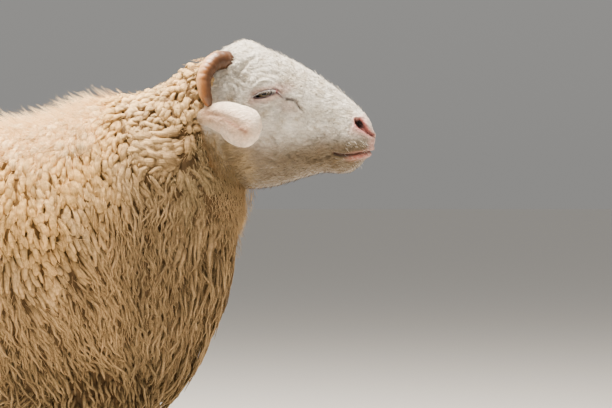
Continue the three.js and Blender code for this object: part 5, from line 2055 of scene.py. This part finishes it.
# %% Tufts of the face
def short_hairs(name, surface, rows, area_at, length_at, way_at, seed, reach):
    draw = np.random.default_rng(seed)
    roots = scatter(surface, rows, area_at, seed)
    points = surface(*roots.T)
    keep = (face_share(points) > 0.5) | (points[:, 2] < 262)
    keep &= bare(points, 3)
    roots, points = roots[keep], points[keep]
    length = length_at(points)
    keep = length > 0
    roots, points, length = roots[keep], points[keep], length[keep]
    normals = outward(surface, *roots.T)
    count = len(points)
    lie = across(way_at(points), normals) + draw.normal(size=(count, 3)) * 0.2
    way = lie + normals * draw.uniform(0.08, 0.3, count)[:, None]
    # fewer pale tufts below the jaw, so that its painted shade stays
    paler = draw.uniform(0, 0.35, count) * (1 - cheek_share(points)) * above_jaw(points)
    tint = mix(skin_tint(points), FACE_WHITE, paler[:, None])
    tint = tint * draw.uniform(0.78, 1.06, count)[:, None]
    half, patch = 0.16 + 0.025 * length, patches(*roots.T, reach)
    return lay_hairs(name, points - normals * 0.8, way, lie, length, half, tint, patch, seed)


face_rows = np.arange(2, 233, 3.5)
face_rules = (face_hair_area, face_hair_length, face_hair_way)
coat_hair = [short_hairs("hair_face", bare_head, face_rows, *face_rules, 113, 240)]


# %% Tufts of the shanks
def shank_hair(leg):
    """Length of a shank's hair: more behind the fetlock, over the hoof and towards the wool."""

    def at(points):
        z = points[:, 2]
        behind = smooth(0, 14, leg["rows"](z)[:, 0] + SHIFT - points[:, 0])
        fetlock = bell(z - leg["fetlock"], 16)
        return 4.5 + 7 * fetlock * behind + 4 * (1 - smooth(34, 46, z)) + 5 * smooth(180, 240, z)

    return at


def downward(points):
    return all_over([0.0, 0, -1.0], points)


for number, (leg_name, leg) in enumerate(LEGS.items()):
    for hand, side_name in SIDES:
        name, surface = f"hair_{leg_name}leg_{side_name}", leg_surface(leg, hand, 0)
        rows = np.arange(34, leg["coat_end"] + 8, 5.0)
        rules = (same(26), shank_hair(leg), downward)
        coat_hair.append(short_hairs(name, surface, rows, *rules, 115 + number, 300))

# %% Eyelashes and whiskers
LASH_GREY = linear("#A39B96")


def bristles(name, hand, places, way, droop, length, half, tint, seed):
    """Single hairs of one side of the face. Places, ways and droops are in head measure."""
    count = len(places)
    to_space = np.array([FORWARD, UPWARD, [0, hand, 0]])
    patch = 0.1 + 0.8 * np.column_stack([np.arange(count) / count, np.full(count, 0.5)])
    droop = np.tile(droop, (count, 1)) @ to_space
    roots, half = from_head(places * [1, 1, hand]), np.full(count, half)
    return lay_hairs(name, roots, way @ to_space, droop, length, half, tint, patch, seed)


def lashes(hand, side_name):
    """Two rows of pale lashes that hang out over the upper half of the eye."""
    draw = np.random.default_rng(121)
    turn = np.radians(np.concatenate([np.linspace(12, 168, 30), np.linspace(16, 164, 24)]))
    flat = almond(turn, 0.2)
    places = np.column_stack([flat, flank(*flat.T) + 0.2])
    count = len(turn)
    way = np.column_stack([-0.35 + 0.5 * np.cos(turn), np.full(count, -0.42), np.full(count, 0.8)])
    way += draw.normal(size=way.shape) * 0.1
    length = draw.uniform(6.0, 9.5, count)
    tint = LASH_GREY * draw.uniform(0.75, 1.1, count)[:, None]
    droop = (-0.6, -2.6, 0.6)
    return bristles(f"lashes_{side_name}", hand, places, way, droop, length, 0.3, tint, 122)


def whiskers(hand, side_name):
    """A few long thin hairs on the lips and chin."""
    draw = np.random.default_rng(131)
    flat = np.column_stack([draw.uniform(200, 234, 44), draw.uniform(-46, 4, 44)])
    places = np.column_stack([flat, flank(*flat.T)])
    places = places[places[:, 2] > 4]
    count = len(places)
    ahead, up = draw.uniform(0.3, 1.0, count), draw.uniform(-0.7, 0.1, count)
    way = np.column_stack([ahead, up, np.full(count, 0.8)])
    tint = FACE_WHITE * draw.uniform(0.8, 1.0, count)[:, None]
    length = draw.uniform(6, 13, count)
    droop = (1.0, -2.0, 0.5)
    return bristles(f"whiskers_{side_name}", hand, places, way, droop, length, 0.16, tint, 132)


coat_hair += [lashes(*side) for side in SIDES]
coat_hair += [whiskers(*side) for side in SIDES]

# %% Hair material
# Each hair is smooth, so the tips of the short coat catch a little more light than wool does.
face_hair, tree, shader = new_material("short_white_hair")
plug(tree, shader, {"Base Color": tinted(tree), "Roughness": 0.7, "Specular IOR Level": 0.2})
for piece in coat_hair:
    wear(piece, face_hair)
    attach(piece, "root")
print(len(coat_hair), "pieces of hair")
